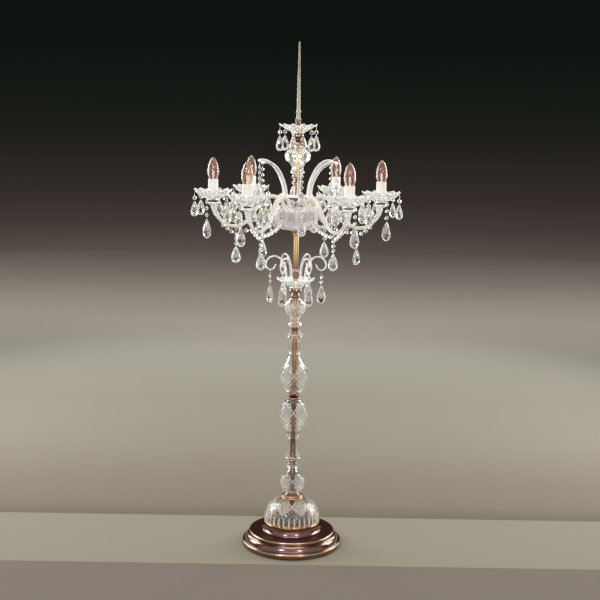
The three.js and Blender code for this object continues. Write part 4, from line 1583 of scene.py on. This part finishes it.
@dataclass
class CaneSpray:
    """The six glass canes over the hub, their knobs and bead strings."""

    azimuths: tuple[int, ...] = (36, 96, 156, 216, 276, 336)
    seat: float = 1135.3
    reach: float = 132.0
    tip: float = 1244.6
    route: tuple[Point, ...] = (
        (44, 1136.3), (45.5, 1158), (52, 1182), (67, 1211.5), (82, 1229), (104, 1242.5), (120, 1245.6), (131, 1244.6),
    )

    def build(self, finishes: Finishes) -> None:
        """Makes the spray."""
        path = evenly([Vector((x * MM, 0, z * MM)) for x, z in self.route], 3 * MM)
        cane = swept(path, 6.1 * MM, 24, scale_at=lambda t: 1 - 0.2 * t + 0.25 * max(0.0, 1 - t / 0.1))
        # Painted shade: a dark rod down each cane where its bore looks dark.
        bore_shade_rod = swept(path[:-2], 0.9 * MM, 8)
        bore_shade_rods = bmesh.new()
        knob = bmesh.new()
        bmesh.ops.create_uvsphere(knob, u_segments=12, v_segments=8, radius=5.2 * MM)
        foot = turned([
            Run(((12, self.seat), (44, self.seat), (45, self.seat + 1.4), (44, self.seat + 4))),
            Run(((44, self.seat + 4), (12, self.seat + 4), (12, self.seat))),
        ], 60)
        shop = StrandShop(Crystals(bead_thickness=0.85))
        for azimuth in self.azimuths:
            stamp(foot, cane, about_stem(azimuth))
            stamp(bore_shade_rods, bore_shade_rod, about_stem(azimuth))
            stamp(foot, knob, about_stem(azimuth, self.reach, self.tip))
            shop.add(CANE, hung(azimuth, self.reach, self.tip - 5))
        for shape in (cane, bore_shade_rod, knob):
            shape.free()
        piece("cane_glass", foot, finishes.bent, replaced=["cane_spray"])
        piece("cane_bore_shade", bore_shade_rods, finishes.bore)
        shop.close("cane", finishes)


@dataclass
class LowerSpray:
    """The lower dish, its six thin scrolls and their drops."""

    azimuths: tuple[int, ...] = (0, 60, 120, 180, 240, 300)
    route: tuple[Point, ...] = (
        (29.5, 866), (29.5, 885), (34.5, 915), (48, 938), (67, 947.5), (86, 941), (95.5, 925), (91, 910), (81.5, 904.5),
        (70, 909), (64, 922),
    )

    def build(self, finishes: Finishes) -> None:
        """Makes the dish and the scrolls."""
        dish = PetalDish(height=30.6, hole=9.3).build()
        bmesh.ops.translate(dish, vec=(0, 0, 848 * MM), verts=dish.verts)
        piece("lower_dish_cut", dish, finishes.petal, replaced=["lower_dish"], crease=16)
        path = evenly([Vector((x * MM, 0, z * MM)) for x, z in self.route], 4 * MM)
        scroll = swept(path, 3.5 * MM, 14, scale_at=lambda t: 1.1 - 0.5 * t)
        foot = turned([
            Run(((10, 857.6), (18, 857.6), (32.6, 866), (33.2, 867.6), (32, 869), (10, 869), (10, 857.6))),
        ], 60)
        shop = StrandShop(Crystals())
        for azimuth in self.azimuths:
            stamp(foot, scroll, about_stem(azimuth))
            shop.add(SCROLL, hung(azimuth, 81.5, 903))
        scroll.free()
        piece("scroll_glass", foot, finishes.bent, replaced=["scroll_spray"])
        shop.close("scroll", finishes)


@dataclass
class Crown:
    """The top dish with its crystals, the ferrule and the spire."""

    def build(self, finishes: Finishes) -> None:
        """Makes the top of the lamp."""
        dish = PetalDish(height=28, hole=5.4).build()
        bmesh.ops.translate(dish, vec=(0, 0, 1333.3 * MM), verts=dish.verts)
        piece("top_dish_cut", dish, finishes.petal, replaced=["top_dish"], crease=16)
        shop = StrandShop(Crystals())
        for i in range(6):
            shop.add(SHORT, hung(15 + 60 * i, 58.4, 1361.8))
        shop.close("top", finishes)
        ferrule = turned([
            Run(((0, 1369), (5.3, 1369), (5.3, 1342.4), (12.4, 1342.4))),
            Run(((12.4, 1342.4), (13.2, 1344), (11, 1346.4), (9.2, 1348)), 3),
            Run(((9.2, 1348), (8, 1354), (7.8, 1366), (8.2, 1370)), 3),
            Run(((8.2, 1370), (9, 1372.4), (8.4, 1376.7)), 3),
            Run(((8.4, 1376.7), (0, 1376.7))),
        ], 48, closed=False)
        piece("spire_ferrule", ferrule, finishes.copper, replaced=["spire_collar"])
        spire = turned([
            Run(((0, 1377), (7.6, 1377))),
            Run(((7.6, 1377), (6.8, 1384), (6.2, 1391), (7.7, 1396.6), (7.7, 1400), (5.9, 1405)), 4),
            Run(((5.9, 1405), (5.3, 1440), (4.4, 1490), (3.4, 1550), (2.3, 1604), (1.4, 1610.6), (0, 1613)), 4),
        ], 24, closed=False)
        piece("spire_glass", spire, finishes.spire, replaced=["spire"])


# The studio


@dataclass(frozen=True)
class SoftBox:
    """A large soft lamp that the camera doesn't see."""

    name: str
    place: tuple[float, float, float]
    size: Point
    power: float
    aim: tuple[float, float, float] = (0, 0, 1.0)

    def build(self) -> None:
        """Hangs the lamp."""
        light = bpy.data.lights.new(self.name, "AREA")
        light.shape = "RECTANGLE"
        light.size, light.size_y = self.size
        light.energy = self.power
        lamp = bpy.data.objects.new(self.name, light)
        lamp.location = self.place
        lamp.rotation_euler = (Vector(self.aim) - Vector(self.place)).to_track_quat("-Z", "Y").to_euler()
        lamp.visible_camera = False
        bpy.context.scene.collection.objects.link(lamp)


@dataclass(frozen=True)
class Studio:
    """A pale floor with a seam behind the lamp, a dark room, soft lamps and the photograph's camera.

    The floor's tones are given by how far they lie behind the lamp, in metres; behind the slab they are painted light
    and shade.
    """

    focal_px: float = 1168.0
    frame_px: float = 600.0
    sensor: float = 36.0
    distance: float = 3.663
    height: float = 1.408
    pitch: float = 9.3
    roll: float = 1.0
    pan_px: float = -4.7
    floor_radius: float = 8.0
    slab: Point = (-0.192, 0.2445)
    seam: float = 0.002
    slab_tone: Colour = (0.255, 0.227, 0.165)
    front_tone: Colour = (0.168, 0.138, 0.108)
    # Painted light and shade: darker just behind the slab, lightest about four metres back and darker again far off,
    # copying how the studio light falls on floor and wall.
    painted_floor_light: tuple[tuple[float, Colour], ...] = (
        (0.2445, (0.143, 0.115, 0.078)),
        (0.38, (0.19, 0.162, 0.112)),
        (0.66, (0.214, 0.18, 0.129)),
        (1.2, (0.262, 0.233, 0.178)),
        (1.9, (0.314, 0.28, 0.222)),
        (2.33, (0.369, 0.343, 0.275)),
        (3.1, (0.515, 0.486, 0.398)),
        (4.1, (0.638, 0.556, 0.464)),
        (4.93, (0.56, 0.48, 0.395)),
        (5.96, (0.394, 0.328, 0.268)),
        (7.1, (0.262, 0.212, 0.173)),
        (8.0, (0.186, 0.145, 0.121)),
    )
    sky_tones: tuple[tuple[float, Colour], ...] = (
        (-0.127, (0.11, 0.086, 0.072)),
        (-0.1, (0.058, 0.045, 0.04)),
        (-0.075, (0.035, 0.027, 0.023)),
        (-0.03, (0.016, 0.0145, 0.0115)),
        (-0.0094, (0.01, 0.012, 0.009)),
        (0.05, (0.0042, 0.0072, 0.0052)),
    )
    sky_low: float = -0.15
    sky_high: float = 0.1
    surround: float = 0.45
    boxes: tuple[SoftBox, ...] = (
        SoftBox("side_left", (-2.3, 1.0, 1.5), (1.0, 1.7), 33),
        SoftBox("side_right", (2.3, 1.0, 1.5), (1.0, 1.7), 33),
        SoftBox("key", (-1.5, -3.0, 2.6), (0.5, 0.8), 30),
        SoftBox("front_right", (1.3, -3.2, 2.2), (0.4, 0.7), 18),
        SoftBox("front_low", (0, -3.2, 0.5), (3.4, 0.8), 9, (0, 0, 0.5)),
        SoftBox("overhead", (0, -0.3, 3.4), (2.0, 2.0), 26),
        SoftBox("rim_left", (-1.9, 2.3, 1.75), (0.4, 1.9), 18),
        SoftBox("rim_right", (1.9, 2.3, 1.75), (0.4, 1.9), 18),
    )

    def build(self) -> None:
        """Sets the stage, the lamps, the world and the camera."""
        self.stage()
        for box in self.boxes:
            box.build()
        self.world()
        self.camera()
        settings = bpy.context.scene
        settings.view_settings.view_transform = "Standard"
        settings.cycles.transmission_bounces = 16
        settings.cycles.transparent_max_bounces = 24
        settings.cycles.max_bounces = 20

    def stage(self) -> None:
        """A round floor: a pale slab with the lamp on it, and painted light and shade that change gently behind it."""
        bm = bmesh.new()
        bmesh.ops.create_circle(bm, cap_ends=True, segments=128, radius=self.floor_radius)
        mesh = bpy.data.meshes.new("studio_floor")
        bm.to_mesh(mesh)
        bm.free()
        floor = bpy.data.objects.new("studio_floor", mesh)
        bpy.context.scene.collection.objects.link(floor)
        net = Net.of_material("studio_paper")
        depth = net.axes()[1]
        stops = [(place / self.floor_radius, tone) for place, tone in self.painted_floor_light]
        tone = net.ramp(depth * (1 / self.floor_radius), stops)
        front, back = self.slab
        tone = net.blend(depth.between(back - self.seam, back + self.seam), self.slab_tone, tone)
        tone = net.blend(depth.between(front - self.seam, front + self.seam), self.front_tone, tone)
        paper = net.principled({"Base Color": tone, "Roughness": 0.9})
        mesh.materials.append(net.finish(paper.outputs[0]))

    def world(self) -> None:
        """A dark room that fades upwards behind the lamp, with an even grey light on it."""
        world = bpy.data.worlds.new("studio_air")
        net = Net(world, "ShaderNodeOutputWorld")
        height = net.axes("Generated")[2]
        span = self.sky_high - self.sky_low
        stops = [((place - self.sky_low) / span, tone) for place, tone in self.sky_tones]
        seen = net.node("ShaderNodeBackground", {}, {
            "Color": net.ramp((height - self.sky_low) * (1 / span), stops),
        })
        light = net.node("ShaderNodeBackground", {}, {"Color": (self.surround,) * 3})
        path = net.node("ShaderNodeLightPath", {}, {}).outputs
        behind = net.axes("Generated")[1].between(-0.25, 0.05)
        direct = Signal(net, path["Is Glossy Ray"]) * behind + Signal(net, path["Is Transmission Ray"])
        direct = direct + Signal(net, path["Is Camera Ray"])
        mix = net.node("ShaderNodeMixShader", {}, {0: direct.at_most(1.0)})
        net.feed(mix.inputs[1], light.outputs[0])
        net.feed(mix.inputs[2], seen.outputs[0])
        bpy.context.scene.world = net.finish(mix.outputs[0])

    def camera(self) -> None:
        """The camera that took the photograph, as its ellipses give it."""
        data = bpy.data.cameras.new("photo_camera")
        data.sensor_width = self.sensor
        data.lens = self.focal_px / self.frame_px * self.sensor
        camera = bpy.data.objects.new("photo_camera", data)
        yaw = math.atan(self.pan_px / self.focal_px)
        turn = (
            Matrix.Rotation(yaw, 4, "Z")
            @ Matrix.Rotation(math.radians(90 - self.pitch), 4, "X")
            @ Matrix.Rotation(math.radians(self.roll), 4, "Z")
        )
        camera.matrix_world = Matrix.Translation((0, -self.distance, self.height)) @ turn
        bpy.context.scene.collection.objects.link(camera)
        bpy.context.scene.camera = camera


def main() -> None:
    """Builds the lamp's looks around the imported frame."""
    logging.basicConfig(level=logging.INFO, format="%(name)s %(message)s")
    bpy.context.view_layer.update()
    finishes = make_finishes()
    for assembly in (Foot(), MetalStem(), GlassStack(), LowerSpray(), Hub(), CaneSpray(), Arms(), Lights(), Crown()):
        assembly.build(finishes)
    Studio().build()


if __name__ == "__main__":
    main()
